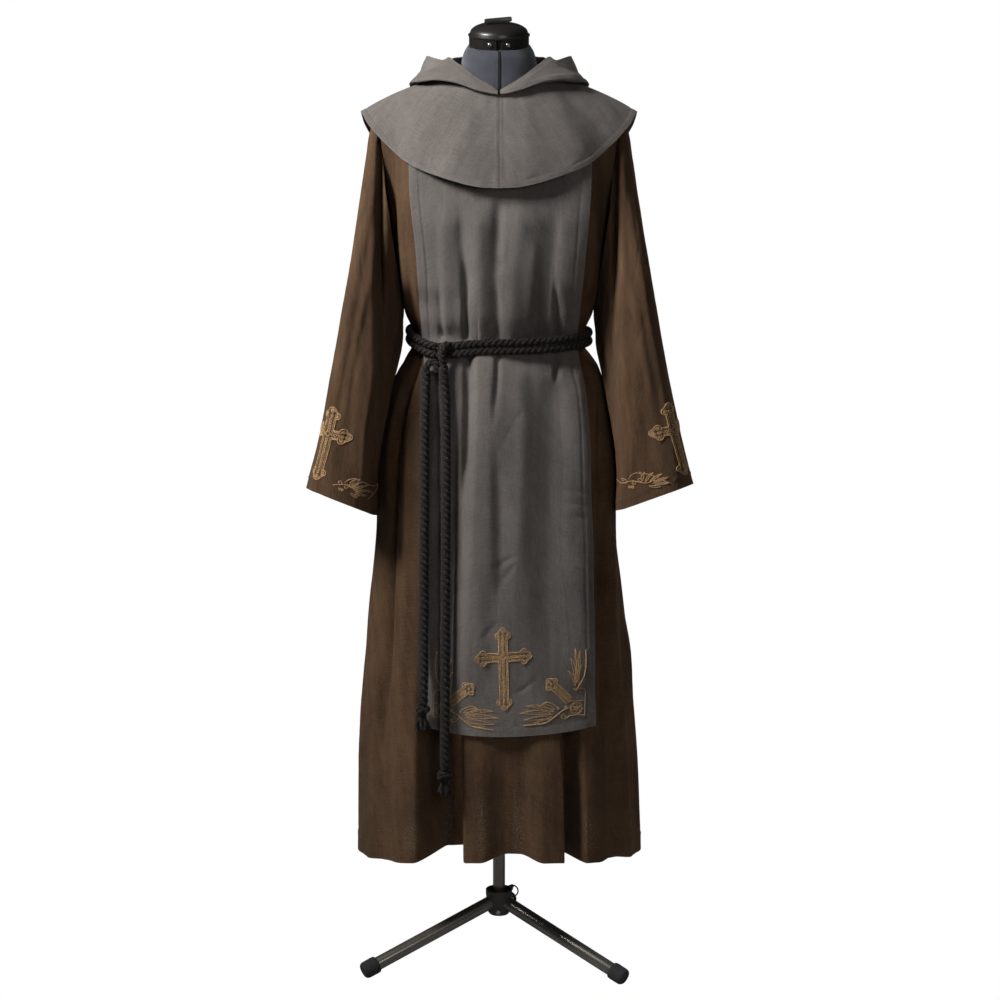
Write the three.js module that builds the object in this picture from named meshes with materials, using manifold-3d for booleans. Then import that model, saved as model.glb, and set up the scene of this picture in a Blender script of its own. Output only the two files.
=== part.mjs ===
// A monk's habit on a limbless dress form: brown tunic with long sleeves, grey scapular, grey cape with its
// hood lying back, and a rope belt, on a form with a neck cap, a pole and a three-legged stand.
// Millimetres, +Z up. The front of the habit faces -Y. Sizes are given about the pole's axis.
import * as THREE from "three";
import { mergeVertices } from "three/addons/utils/BufferGeometryUtils.js";
import Module from "manifold-3d";

const wasm = await Module();
wasm.setup();

// ---- Driving sizes ----
const poleY = -40; // the pole's place, which centres the whole model on the origin
const clothWall = 2;
const seamGap = 0.5;
const layerStep = 5; // from the middle of one layer of cloth to the middle of the next

// Armhole: an ellipse from the shoulder tip (x + lean, z + rise) to the armpit (x - lean, z - rise).
const armhole = { x: 185, lean: 21, z: 1348.5, rise: 163.5, reach: 70 };
const armpitZ = armhole.z - armhole.rise;
const hem = { z: 236, sideDip: 28 };

// Tunic neckline, and how much of the top edge it takes up (the rest is the shoulder seams).
const neckline = {
  half: 84, sideZ: 1570, share: 0.335,
  front: { y: 74, z: 1546 },
  back: { y: 69, z: 1576 },
};
// How full the yoke is over the centre of the chest and the back, from 0, straight, to 1, round.
const yokeFullness = { front: 0.2, back: 0.8 };
const sectionSquareness = 2.2; // 2 is an ellipse

// Tunic body, a row for each level: half width at the side seams, how far it hangs to one side, and its depth
// before and behind the pole.
const bodyLevels = [
  { z: 1348, half: 185, shift: 0, front: 126, back: 108 },
  { z: 1185, half: 164, shift: 0, front: 116, back: 104 },
  { z: 1166, half: 158, shift: 0, front: 107, back: 98 },
  { z: 1148, half: 147.5, shift: 0, front: 98, back: 92 },
  { z: 1130, half: 146, shift: 0, front: 97, back: 91 },
  { z: 1112, half: 147.5, shift: 0, front: 98, back: 92 },
  { z: 1090, half: 168, shift: 0, front: 106, back: 101 },
  { z: 1050, half: 187, shift: -1, front: 111, back: 108 },
  { z: 1005, half: 198, shift: -2, front: 115, back: 113 },
  { z: 905, half: 211, shift: -4, front: 124, back: 124 },
  { z: 800, half: 210, shift: -6, front: 134, back: 136 },
  { z: 700, half: 221, shift: -4.5, front: 144, back: 148 },
  { z: 590, half: 232.5, shift: -3, front: 155, back: 160 },
  { z: 480, half: 244, shift: -3, front: 166, back: 172 },
  { z: 370, half: 251, shift: -1, front: 176, back: 181 },
  { z: 230, half: 255, shift: 0.5, front: 188, back: 192 },
];
const bodyRows = [1162, 1147, 1113, 1092, 1045, 950, 830, 690, 540, 390, hem.z]; // below the armpit

// Skirt folds, a row for each trough. Places across run from -1 at one side seam to 1 at the other: the
// trough starts at from, has its floor between floorA and floorB, and ends at to. It begins at height top,
// is full depth at the hem and lifts the hem a little.
const frontFolds = [
  { name: "left outer", from: -0.93, floorA: -0.85, floorB: -0.8, to: -0.72, depth: 11, lift: 1, top: 980 },
  { name: "left inner", from: -0.7, floorA: -0.62, floorB: -0.58, to: -0.5, depth: 15, lift: 2, top: 900 },
  { name: "left recess", from: -0.4, floorA: -0.27, floorB: -0.17, to: -0.136, depth: 64, lift: 12, top: 1040 },
  { name: "centre dip", from: -0.02, floorA: 0.035, floorB: 0.075, to: 0.13, depth: 38, lift: 12, top: 640 },
  { name: "right recess", from: 0.27, floorA: 0.3, floorB: 0.335, to: 0.38, depth: 56, lift: 5, top: 1000 },
  { name: "right inner", from: 0.5, floorA: 0.59, floorB: 0.62, to: 0.7, depth: 17, lift: 2, top: 940 },
  { name: "right outer", from: 0.74, floorA: 0.82, floorB: 0.85, to: 0.92, depth: 10, lift: 1, top: 860 },
];
const backFolds = [
  { name: "left outer", from: -0.86, floorA: -0.77, floorB: -0.72, to: -0.62, depth: 16, lift: 2, top: 900 },
  { name: "left inner", from: -0.52, floorA: -0.47, floorB: -0.39, to: -0.36, depth: 48, lift: 5, top: 1020 },
  { name: "centre left", from: -0.25, floorA: -0.17, floorB: -0.085, to: -0.01, depth: 20, lift: 2, top: 820 },
  { name: "centre right", from: 0.085, floorA: 0.13, floorB: 0.19, to: 0.25, depth: 54, lift: 5, top: 1050 },
  { name: "right inner", from: 0.42, floorA: 0.51, floorB: 0.55, to: 0.64, depth: 18, lift: 2, top: 860 },
  { name: "right outer", from: 0.72, floorA: 0.78, floorB: 0.83, to: 0.9, depth: 24, lift: 3, top: 960 },
];

// Sleeve, a row for each ring: its outer and inner points in front view, half depth, how far it hangs forward
// and how much higher its front is than its middle.
const sleeveRings = [
  { outX: 208.6, outZ: 1512, inX: 166.6, inZ: 1185, deep: 70, forward: 0, rise: 0 },
  { outX: 222, outZ: 1489, inX: 168, inZ: 1156, deep: 74, forward: 3, rise: 1 },
  { outX: 230.5, outZ: 1432, inX: 170.5, inZ: 1122, deep: 77, forward: 11, rise: 4 },
  { outX: 240, outZ: 1364, inX: 178.5, inZ: 1087, deep: 79, forward: 24, rise: 8 },
  { outX: 252.5, outZ: 1286, inX: 188, inZ: 1049, deep: 81, forward: 40, rise: 11 },
  { outX: 265.5, outZ: 1206, inX: 195, inZ: 1012, deep: 82, forward: 54, rise: 13 },
  { outX: 281, outZ: 1121, inX: 203.5, inZ: 970, deep: 84, forward: 60, rise: 14 },
  { outX: 297, outZ: 1033, inX: 211, inZ: 927, deep: 86, forward: 63, rise: 15 },
  { outX: 315.5, outZ: 946, inX: 216, inZ: 879, deep: 89, forward: 65, rise: 16 },
  { outX: 333.5, outZ: 877, inX: 217, inZ: 829, deep: 93, forward: 66, rise: 17 },
];
// How far each sleeve's cuff differs from the table: its outer point out, its inner point in, and up.
const sleeves = [
  { name: "left", side: -1, outer: 0, inner: 3, lift: 1 },
  { name: "right", side: 1, outer: 4, inner: 12, lift: 9 },
];
// Sleeve creases run along it. Angles are round the ring from its outer line, positive to the front.
const sleeveFolds = [
  { name: "front groove", angle: 68, spread: 15, depth: 13, start: 0.05, end: 0.9 },
  { name: "front hollow", angle: 122, spread: 22, depth: 12, start: 0.1, end: 0.75 },
  { name: "back groove", angle: -75, spread: 18, depth: 12, start: 0.08, end: 0.85 },
  { name: "back hollow", angle: -135, spread: 20, depth: 9, start: 0.2, end: 0.8 },
];

// Scapular, a row for each level: its left and right edges.
const scapularFrontEdges = [
  { z: 1560, left: -149, right: 157 },
  { z: 1398, left: -149, right: 153 },
  { z: 1290, left: -139, right: 145 },
  { z: 1180, left: -131, right: 134 },
  { z: 1130, left: -127, right: 130 },
  { z: 1045, left: -124, right: 146 },
  { z: 950, left: -122, right: 153 },
  { z: 650, left: -121, right: 161 },
  { z: 459, left: -121, right: 166 },
];
const scapularBackEdges = [
  { z: 1560, left: -157, right: 157 },
  { z: 1398, left: -152, right: 154 },
  { z: 1130, left: -126, right: 130 },
  { z: 1045, left: -136, right: 138 },
  { z: 650, left: -148, right: 150 },
  { z: 459, left: -152, right: 156 },
];
const scapularRows = [1162, 1147, 1113, 1092, 1045, 950, 830, 690, 560, 459];
const scapularInner = 4; // columns from its middle to below a corner of the neckline
const scapularOuter = 2; // columns from there to its edge
const scapularHemLift = 14; // how much higher its corners hang than its middle

// Cape, a row for each direction from straight ahead: neck edge, hem edge and how far it swells between.
const capeStations = [
  { turn: 0, neckR: 84, neckZ: 1557, hemX: 0, hemY: -143, hemZ: 1404, swell: 5 },
  { turn: 14, neckR: 85, neckZ: 1559, hemX: 42, hemY: -141, hemZ: 1407, swell: 6 },
  { turn: 30, neckR: 86, neckZ: 1564, hemX: 96, hemY: -130, hemZ: 1421, swell: 9 },
  { turn: 46, neckR: 88, neckZ: 1572, hemX: 150, hemY: -102, hemZ: 1441, swell: 12 },
  { turn: 62, neckR: 89, neckZ: 1579, hemX: 191, hemY: -66, hemZ: 1472, swell: 12 },
  { turn: 77, neckR: 90, neckZ: 1583, hemX: 222, hemY: -36, hemZ: 1503, swell: 10 },
  { turn: 90, neckR: 90, neckZ: 1585, hemX: 237, hemY: -5, hemZ: 1525, swell: 6.5 },
  { turn: 103, neckR: 88, neckZ: 1586, hemX: 231, hemY: 34, hemZ: 1498, swell: 11 },
  { turn: 118, neckR: 85, neckZ: 1587, hemX: 206, hemY: 70, hemZ: 1456, swell: 15 },
  { turn: 134, neckR: 81, neckZ: 1588, hemX: 158, hemY: 104, hemZ: 1412, swell: 18 },
  { turn: 150, neckR: 78, neckZ: 1589, hemX: 100, hemY: 127, hemZ: 1380, swell: 18 },
  { turn: 165, neckR: 76, neckZ: 1590, hemX: 48, hemY: 135, hemZ: 1364, swell: 19 },
  { turn: 180, neckR: 75, neckZ: 1590, hemX: 0, hemY: 137, hemZ: 1359, swell: 19 },
];
const capeSideTurn = 90; // where its front and back pieces meet
const capeSteps = 5;

// Hood, a row for each direction from straight ahead. The cloth leaves the neck seam, stands up to the roll,
// laps over, drops to the floor of the pocket, turns out and rises to the edge of the face opening.
const hoodStations = [
  { turn: 1.5, seamR: 87, seamZ: 1558, rollR: 88.5, rollZ: 1557.5, lapR: 90, lapZ: 1557.5,
    lowR: 91.5, lowZ: 1558, outR: 92, outZ: 1560, edgeR: 82, edgeZ: 1564 },
  { turn: 8, seamR: 87, seamZ: 1560, rollR: 88.5, rollZ: 1559, lapR: 90, lapZ: 1559,
    lowR: 92, lowZ: 1559.5, outR: 93, outZ: 1562, edgeR: 82, edgeZ: 1570 },
  { turn: 24, seamR: 88, seamZ: 1567, rollR: 89.5, rollZ: 1565.5, lapR: 91, lapZ: 1565,
    lowR: 94, lowZ: 1565, outR: 96, outZ: 1568, edgeR: 80, edgeZ: 1583 },
  { turn: 46, seamR: 90, seamZ: 1578, rollR: 90, rollZ: 1580, lapR: 93, lapZ: 1579,
    lowR: 98, lowZ: 1577, outR: 103, outZ: 1580, edgeR: 79, edgeZ: 1599 },
  { turn: 63, seamR: 90, seamZ: 1586, rollR: 88, rollZ: 1592, lapR: 93, lapZ: 1590,
    lowR: 106, lowZ: 1583, outR: 119, outZ: 1583, edgeR: 82, edgeZ: 1611 },
  { turn: 77, seamR: 90, seamZ: 1590, rollR: 87, rollZ: 1601, lapR: 94, lapZ: 1598,
    lowR: 118, lowZ: 1582, outR: 140, outZ: 1580, edgeR: 88, edgeZ: 1619 },
  { turn: 92, seamR: 89, seamZ: 1592, rollR: 86, rollZ: 1610, lapR: 95, lapZ: 1603,
    lowR: 126, lowZ: 1582, outR: 153, outZ: 1575, edgeR: 97, edgeZ: 1613 },
  { turn: 108, seamR: 87, seamZ: 1593, rollR: 84, rollZ: 1614, lapR: 95, lapZ: 1605,
    lowR: 132, lowZ: 1574, outR: 160, outZ: 1563, edgeR: 128, edgeZ: 1619 },
  { turn: 125, seamR: 84, seamZ: 1594, rollR: 81, rollZ: 1616, lapR: 93, lapZ: 1606,
    lowR: 138, lowZ: 1555, outR: 172, outZ: 1532, edgeR: 150, edgeZ: 1613 },
  { turn: 142, seamR: 80, seamZ: 1595, rollR: 77, rollZ: 1616, lapR: 90, lapZ: 1606,
    lowR: 152, lowZ: 1500, outR: 184, outZ: 1462, edgeR: 168, edgeZ: 1602 },
  { turn: 160, seamR: 78, seamZ: 1595, rollR: 75, rollZ: 1616, lapR: 91, lapZ: 1605,
    lowR: 162, lowZ: 1418, outR: 188, outZ: 1365, edgeR: 181, edgeZ: 1588 },
  { turn: 180, seamR: 77, seamZ: 1595, rollR: 74, rollZ: 1616, lapR: 91, lapZ: 1605,
    lowR: 165, lowZ: 1390, outR: 190, outZ: 1325, edgeR: 187, edgeZ: 1580 },
];
const hoodSteps = 10;

// Rope belt: two wraps one above the other, a knot on the habit's right side and two hanging ends.
const rope = { radius: 7, sides: 8, step: 34 };
const wrap = {
  z: 1131.5, lift: 7.25, tilt: 0.035, half: 157, front: 112, back: 106, squareness: 2.45, step: 22,
};
const wrapSag = { depth: 6, x: -70, spread: 45 }; // where the knot pulls the wraps down
const knot = { x: -101 };
const hangingEnds = [
  { name: "left", knotZ: 508, knotHigh: 17, tasselLong: 30, spread: 15.5, route: [
    [-126, -97, 1087.8], [-126, -97, 1080], [-127, -104.5, 1045], [-127.5, -111, 1010], [-128, -118, 950],
    [-128.5, -126, 880], [-129, -133, 810], [-129.5, -140, 740], [-130, -148, 670], [-130.5, -159, 600],
    [-131, -171, 550], [-131, -174, 530], [-131, -174, 517.5]] },
  { name: "right", knotZ: 393, knotHigh: 20, tasselLong: 27, spread: 13.5, route: [
    [-95.5, -110.5, 1097.8], [-95.5, -110.5, 1088], [-92.5, -113, 1055], [-91.5, -118, 1020], [-91, -123, 970],
    [-91, -130, 900], [-91.5, -138, 820], [-92, -146, 740], [-92.5, -154, 660], [-93, -163, 580],
    [-93.5, -173, 510], [-94, -181, 450], [-94, -183, 425], [-94, -183, 404]] },
];

// Dress form, a row for each level.
const formLevels = [
  { z: 1637, half: 54, front: 54, back: 54 },
  { z: 1627, half: 60, front: 58, back: 58 },
  { z: 1613, half: 64, front: 60, back: 61 },
  { z: 1590, half: 66, front: 62, back: 63 },
  { z: 1572, half: 69, front: 64, back: 64 },
  { z: 1560, half: 74, front: 62, back: 64 },
  { z: 1550, half: 85, front: 58, back: 61 },
  { z: 1538, half: 104, front: 56, back: 60 },
  { z: 1520, half: 132, front: 57, back: 61 },
  { z: 1497, half: 155, front: 65, back: 68 },
  { z: 1460, half: 163, front: 82, back: 79 },
  { z: 1410, half: 160, front: 100, back: 90 },
  { z: 1340, half: 156, front: 116, back: 94 },
  { z: 1270, half: 143, front: 108, back: 88 },
  { z: 1190, half: 130, front: 92, back: 82 },
  { z: 1130, half: 124, front: 84, back: 78 },
  { z: 1060, half: 138, front: 92, back: 90 },
  { z: 980, half: 154, front: 98, back: 104 },
  { z: 910, half: 158, front: 98, back: 108 },
  { z: 862, half: 152, front: 94, back: 104 },
  { z: 850, half: 144, front: 88, back: 98 },
];
const formSides = 24;

const cap = { radius: 51.5, lip: 53, band: 17.5, lipHigh: 3, dome: 20, z: 1637.3, tilt: 8, slot: 4 };
const tab = { wide: 47, high: 8.5, thick: 7, round: 2.5, x: -1.5, y: -21, z: 1680.8, lean: -5 };
const screw = { radius: 3.4, high: 2.2, x: 15.5, up: 9 };
const strip = { wide: 5, thick: 1.6, top: 1630, bottom: 1548, steps: 9, clear: 1.2 };

const pole = { radius: 11, bottom: 84, top: 838 };
const socket = { radius: 19, top: 849.6, high: 36, bore: 14 };
const hub = { radius: 24, foot: 17, top: 125, bottom: 78, rimWall: 2.6, dish: 9, clear: 0.45 };
const leg = { radius: 12, inner: 16, end: 270, slope: 19.8, hubR: 24, hubZ: 99, turn: 4 };
const foot = { radius: 15.5, long: 30, floor: 5, round: 3.5, lip: 1.5 };
const bolt = { radius: 4, high: 2.4, z: 88, turn: 60 };
const pin = { x: 23.8, z: 119.5, from: 13.2, to: 28, radius: 2.2, head: 3.6, headHigh: 2.4 };
const ring = { radius: 11, wire: 1.3, y: 23.5, drop: 7.2 };

// ---- Materials ----
const finish = (color, roughness, metalness = 0) => (
  new THREE.MeshStandardMaterial({ color, roughness, metalness }));
const materials = {
  brownLinen: finish(0x4a3628, 0.9),
  greyLinen: finish(0x625c58, 0.9),
  rope: finish(0x27231f, 0.95),
  jersey: finish(0x3d3f49, 0.85),
  blackPlastic: finish(0x121214, 0.25),
  blackTape: finish(0x0c0c0d, 0.8),
  steel: finish(0xb9b8b4, 0.3, 1),
  bronzeTube: finish(0x4b4944, 0.4, 0.8),
  darkCasting: finish(0x3a3937, 0.55, 0.5),
  rubber: finish(0x252627, 0.85),
};

// ---- Small helpers ----
const radians = THREE.MathUtils.degToRad;
const point = (x, y, z) => new THREE.Vector3(x, y, z);
const smooth = (from, to, at) => THREE.MathUtils.smoothstep(at, Math.min(from, to), Math.max(from, to));
const clamp = THREE.MathUtils.clamp;

// A smooth curve through one column of a table, read at a place along the key column.
function along(table, key, column, at) {
  const rising = table[0][key] < table[table.length - 1][key];
  const rows = rising ? table : [...table].reverse();
  const last = rows.length - 1;
  const place = clamp(at, rows[0][key], rows[last][key]);
  let i = 0;
  while (i < last - 1 && rows[i + 1][key] < place) i++;
  const slope = (j) => {
    const a = rows[Math.max(j - 1, 0)];
    const b = rows[Math.min(j + 1, last)];
    return (b[column] - a[column]) / (b[key] - a[key]);
  };
  const step = rows[i + 1][key] - rows[i][key];
  const s = (place - rows[i][key]) / step;
  const s2 = s * s;
  const s3 = s2 * s;
  return (2 * s3 - 3 * s2 + 1) * rows[i][column] + (s3 - 2 * s2 + s) * step * slope(i)
    + (3 * s2 - 2 * s3) * rows[i + 1][column] + (s3 - s2) * step * slope(i + 1);
}

// The unit normal of a grid of points at one of them.
function gridNormal(grid, i, j, closed) {
  const rows = grid.length;
  const cols = grid[0].length;
  const right = closed ? (j + 1) % cols : Math.min(j + 1, cols - 1);
  const left = closed ? (j + cols - 1) % cols : Math.max(j - 1, 0);
  const across = grid[i][right].clone().sub(grid[i][left]);
  const down = grid[Math.min(i + 1, rows - 1)][j].clone().sub(grid[Math.max(i - 1, 0)][j]);
  return across.cross(down).normalize();
}

// A geometry from points and triangles, turned so that its faces point out.
function closedGeometry(points, triangles) {
  let volume = 0;
  for (const [a, b, c] of triangles) volume += points[a].dot(points[b].clone().cross(points[c]));
  const index = triangles.flatMap(([a, b, c]) => (volume < 0 ? [a, c, b] : [a, b, c]));
  const geometry = new THREE.BufferGeometry().setFromPoints(points);
  geometry.setIndex(index);
  geometry.computeVertexNormals();
  return geometry;
}

// A wall of cloth on both sides of a grid of points; closed joins its last column to its first. seamNormal
// gives the direction through the cloth at its edges, so that pieces meet squarely at a seam.
function clothShell(grid, { closed = false, wall = clothWall, seamNormal = () => null } = {}) {
  const rows = grid.length;
  const cols = grid[0].length;
  const points = [];
  for (const side of [1, -1]) {
    grid.forEach((row, i) => row.forEach((p, j) => {
      const onEdge = i === 0 || i === rows - 1 || (!closed && (j === 0 || j === cols - 1));
      const normal = (onEdge && seamNormal(i, j)) || gridNormal(grid, i, j, closed);
      points.push(p.clone().addScaledVector(normal, side * wall / 2));
    }));
  }
  const outer = (i, j) => i * cols + (j % cols);
  const inner = (i, j) => rows * cols + outer(i, j);
  const triangles = [];
  const quad = (a, b, c, d) => triangles.push([a, b, c], [a, c, d]);
  const lastCol = closed ? cols : cols - 1;
  for (let i = 0; i < rows - 1; i++) {
    for (let j = 0; j < lastCol; j++) {
      quad(outer(i, j), outer(i + 1, j), outer(i + 1, j + 1), outer(i, j + 1));
      quad(inner(i, j), inner(i, j + 1), inner(i + 1, j + 1), inner(i + 1, j));
    }
  }
  for (let j = 0; j < lastCol; j++) {
    quad(outer(0, j), outer(0, j + 1), inner(0, j + 1), inner(0, j));
    quad(outer(rows - 1, j + 1), outer(rows - 1, j), inner(rows - 1, j), inner(rows - 1, j + 1));
  }
  if (!closed) {
    for (let i = 0; i < rows - 1; i++) {
      quad(outer(i + 1, 0), outer(i, 0), inner(i, 0), inner(i + 1, 0));
      quad(outer(i, cols - 1), outer(i + 1, cols - 1), inner(i + 1, cols - 1), inner(i, cols - 1));
    }
  }
  return closedGeometry(points, triangles);
}

// A solid through closed rings of points, capped at both ends.
function ringSolid(rings) {
  const sides = rings[0].length;
  const points = rings.flat();
  const triangles = [];
  for (let i = 0; i < rings.length - 1; i++) {
    for (let j = 0; j < sides; j++) {
      const [a, b] = [i * sides + j, i * sides + ((j + 1) % sides)];
      triangles.push([a, b, b + sides], [a, b + sides, a + sides]);
    }
  }
  const capEnd = (first, turned) => {
    const centre = points.length;
    const sum = point(0, 0, 0);
    for (let j = 0; j < sides; j++) sum.add(points[first + j]);
    points.push(sum.divideScalar(sides));
    for (let j = 0; j < sides; j++) {
      const [a, b] = [first + j, first + ((j + 1) % sides)];
      triangles.push(turned ? [centre, b, a] : [centre, a, b]);
    }
  };
  capEnd(0, true);
  capEnd((rings.length - 1) * sides, false);
  return closedGeometry(points, triangles);
}

function circleShape(radius, sides) {
  const shape = new THREE.Shape();
  for (let i = 0; i < sides; i++) {
    const angle = (i / sides) * 2 * Math.PI;
    const [x, y] = [radius * Math.cos(angle), radius * Math.sin(angle)];
    if (i) shape.lineTo(x, y);
    else shape.moveTo(x, y);
  }
  return shape;
}

// A rope along a curve through the points.
function ropeGeometry(route, stepLength = rope.step) {
  const curve = new THREE.CatmullRomCurve3(route, false, "centripetal");
  const steps = Math.ceil(curve.getLength() / stepLength);
  return new THREE.ExtrudeGeometry(circleShape(rope.radius, rope.sides), { extrudePath: curve, steps });
}

function lathe(profile, sides) {
  return new THREE.LatheGeometry(profile.map(([r, z]) => new THREE.Vector2(r, z)), sides).rotateX(Math.PI / 2);
}

function toSolid(geometry) {
  const bare = geometry.clone();
  bare.deleteAttribute("normal");
  bare.deleteAttribute("uv");
  const merged = mergeVertices(bare, 1e-3);
  const vertProperties = merged.attributes.position.array;
  const triVerts = new Uint32Array(merged.index.array);
  return new wasm.Manifold(new wasm.Mesh({ numProp: 3, vertProperties, triVerts }));
}

function fromSolid(solid) {
  const mesh = solid.getMesh();
  const geometry = new THREE.BufferGeometry();
  geometry.setAttribute("position", new THREE.BufferAttribute(mesh.vertProperties, 3));
  geometry.setIndex(new THREE.BufferAttribute(mesh.triVerts, 1));
  geometry.computeVertexNormals();
  return geometry;
}

// ---- Habit body ----
// side is 1 for the front panel and -1 for the back one. across runs from -1 to 1 between the side edges.
// down runs from 0 at the shoulders to 1 at the armpits and 2 at the hem.
function sectionPoint(side, across, endX, endY, deep, z) {
  const angle = Math.abs(across) * Math.PI / 2;
  const x = Math.sign(across) * endX * Math.sin(angle) ** (2 / sectionSquareness);
  const y = endY + (deep - endY) * Math.max(Math.cos(angle), 0) ** (2 / sectionSquareness);
  return point(x, -side * y, z);
}

function topEdgePoint(side, across) {
  const neck = side > 0 ? neckline.front : neckline.back;
  const share = Math.abs(across) / neckline.share;
  if (share <= 1) {
    const angle = share * Math.PI / 2;
    const z = neck.z + (neckline.sideZ - neck.z) * (1 - Math.cos(angle));
    const y = Math.max(neck.y * Math.cos(angle), seamGap / 2);
    return point(Math.sign(across) * neckline.half * Math.sin(angle), -side * y, z);
  }
  const s = (Math.abs(across) - neckline.share) / (1 - neckline.share);
  const tipX = armhole.x + armhole.lean;
  const tipZ = armhole.z + armhole.rise;
  const x = neckline.half + (tipX - neckline.half) * s;
  return point(Math.sign(across) * x, -side * seamGap / 2, neckline.sideZ + (tipZ - neckline.sideZ) * s);
}

// Past a seam the body goes on along the other panel.
function bodyPoint(side, across, down) {
  if (down < 0) return bodyPoint(-side, across, -down);
  if (Math.abs(across) > 1) {
    const edge = Math.sign(across);
    return down > 1 ? bodyPoint(-side, edge * (2 - Math.abs(across)), down) : bodyPoint(side, edge, down);
  }
  const deepColumn = side > 0 ? "front" : "back";
  if (down >= 1) {
    const z = armpitZ + (hem.z - armpitZ) * (down - 1);
    const half = along(bodyLevels, "z", "half", z);
    const p = sectionPoint(side, across, half, seamGap / 2, along(bodyLevels, "z", deepColumn, z), z);
    p.z -= hem.sideDip * (p.x / half) ** 2 * (down - 1) ** 4;
    p.x += along(bodyLevels, "z", "shift", z);
    return p;
  }
  const angle = down * Math.PI;
  const lower = Math.max(angle, Math.PI / 2);
  const chestZ = armhole.z + armhole.rise * Math.cos(lower);
  const endX = armhole.x + armhole.lean * Math.cos(lower);
  const endY = Math.max(armhole.reach * Math.sin(lower), seamGap / 2);
  const chest = sectionPoint(side, across, endX, endY, along(bodyLevels, "z", deepColumn, chestZ), chestZ);
  if (angle >= Math.PI / 2) return chest;
  const top = topEdgePoint(side, across);
  const fullness = side > 0 ? yokeFullness.front : yokeFullness.back;
  const round = fullness + (1 - fullness) * smooth(0.1, 0.6, Math.abs(across));
  const fall = 1 - Math.cos(angle);
  const out = Math.sin(angle) * round + fall ** 0.7 * (1 - round);
  const p = top.clone().lerp(chest, fall);
  p.y = top.y + (chest.y - top.y) * out;
  return p;
}

// The direction straight out of a surface, from a function that gives its points.
function normalOf(surface, u, v, e = 0.004) {
  const across = surface(u + e, v).sub(surface(u - e, v));
  return across.cross(surface(u, v + e).sub(surface(u, v - e))).normalize();
}

function bodyNormal(side, across, down) {
  return normalOf((u, v) => bodyPoint(side, u, v), across, down).multiplyScalar(-side);
}

// A place on the body moved straight out of its surface.
function bodyPointOut(side, across, down, out) {
  return bodyPoint(side, across, down).addScaledVector(bodyNormal(side, across, down), out);
}

// The place across the body, at a row, where it has the given x.
function acrossAt(side, x, down) {
  let [low, high] = [-1, 1];
  for (let i = 0; i < 40; i++) {
    const middle = (low + high) / 2;
    if (bodyPoint(side, middle, down).x < x) low = middle;
    else high = middle;
  }
  return (low + high) / 2;
}

const downAt = (z) => 1 + (armpitZ - z) / (armpitZ - hem.z);
const yokeRows = [...Array(7).keys()].map((i) => i / 7);

// The sum of a column of the folds' table at a place, each fold growing from its top to the hem.
function foldSum(folds, column, across, z) {
  return folds.reduce((sum, f) => {
    const shape = Math.min(smooth(f.from, f.floorA, across), 1 - smooth(f.floorB, f.to, across));
    return sum + f[column] * shape * (1 - smooth(hem.z, f.top, z));
  }, 0);
}

// Columns of a panel: evenly spaced ones, and the edges and floor of each fold.
function panelColumns(folds, even) {
  const creases = folds.flatMap((f) => [f.from, f.floorA, f.floorB, f.to]);
  const places = [-neckline.share, neckline.share, ...creases];
  for (let i = 0; i <= even; i++) {
    const at = -1 + (2 * i) / even;
    if (places.every((p) => Math.abs(p - at) > 0.5 / even)) places.push(at);
  }
  return places.sort((a, b) => a - b);
}

function tunicPanel(side) {
  const folds = side > 0 ? frontFolds : backFolds;
  const rows = [...yokeRows, 1, ...bodyRows.map(downAt)];
  const columns = panelColumns(folds, 8);
  const grid = rows.map((down) => columns.map((across) => {
    const z = bodyPoint(side, across, down).z;
    const p = bodyPointOut(side, across, down, -foldSum(folds, "depth", across, z));
    p.z += foldSum(folds, "lift", across, z);
    return p;
  }));
  const seamNormal = (i, j) => (i && j && j < columns.length - 1 ? null
    : bodyNormal(side, columns[j], rows[i]).multiplyScalar(-side));
  return clothShell(grid, { seamNormal });
}

// ---- Sleeves ----
function sleevePoint(cut, s, angle) {
  const ring = (column) => along(sleeveTable, "s", column, s);
  const grown = s ** 2;
  const outer = point(ring("outX") + cut.outer * grown, -ring("forward"), ring("outZ") + cut.lift * grown);
  const inner = point(ring("inX") - cut.inner * grown, -ring("forward"), ring("inZ") + cut.lift * grown);
  const half = outer.clone().sub(inner).divideScalar(2);
  let shrink = 0;
  for (const f of sleeveFolds) {
    const off = Math.abs(angle - radians(f.angle));
    const here = Math.max(0, 1 - Math.min(off, 2 * Math.PI - off) / radians(f.spread));
    const fade = smooth(f.start, f.start + 0.2, s) * (1 - smooth(f.end - 0.2, f.end + 0.1, s));
    shrink += f.depth * here * fade;
  }
  const deep = ring("deep") - shrink * Math.abs(Math.sin(angle));
  const width = 1 - shrink * Math.abs(Math.cos(angle)) / half.length();
  const p = inner.add(half).addScaledVector(half, Math.cos(angle) * width);
  p.add(point(0, -deep * Math.sin(angle), ring("rise") * Math.sin(angle)));
  p.x *= cut.side;
  return p;
}
const sleeveTable = sleeveRings.map((row, i) => ({ ...row, s: i / (sleeveRings.length - 1) }));
const sleeveColumns = 16;

function sleeve(cut) {
  const angles = [...Array(sleeveColumns).keys()].map((j) => (
    ((j < sleeveColumns / 2 ? j : j - sleeveColumns) / sleeveColumns) * 2 * Math.PI));
  const grid = sleeveTable.map((row) => angles.map((angle) => sleevePoint(cut, row.s, angle)));
  return clothShell(grid, { closed: true });
}

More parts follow.
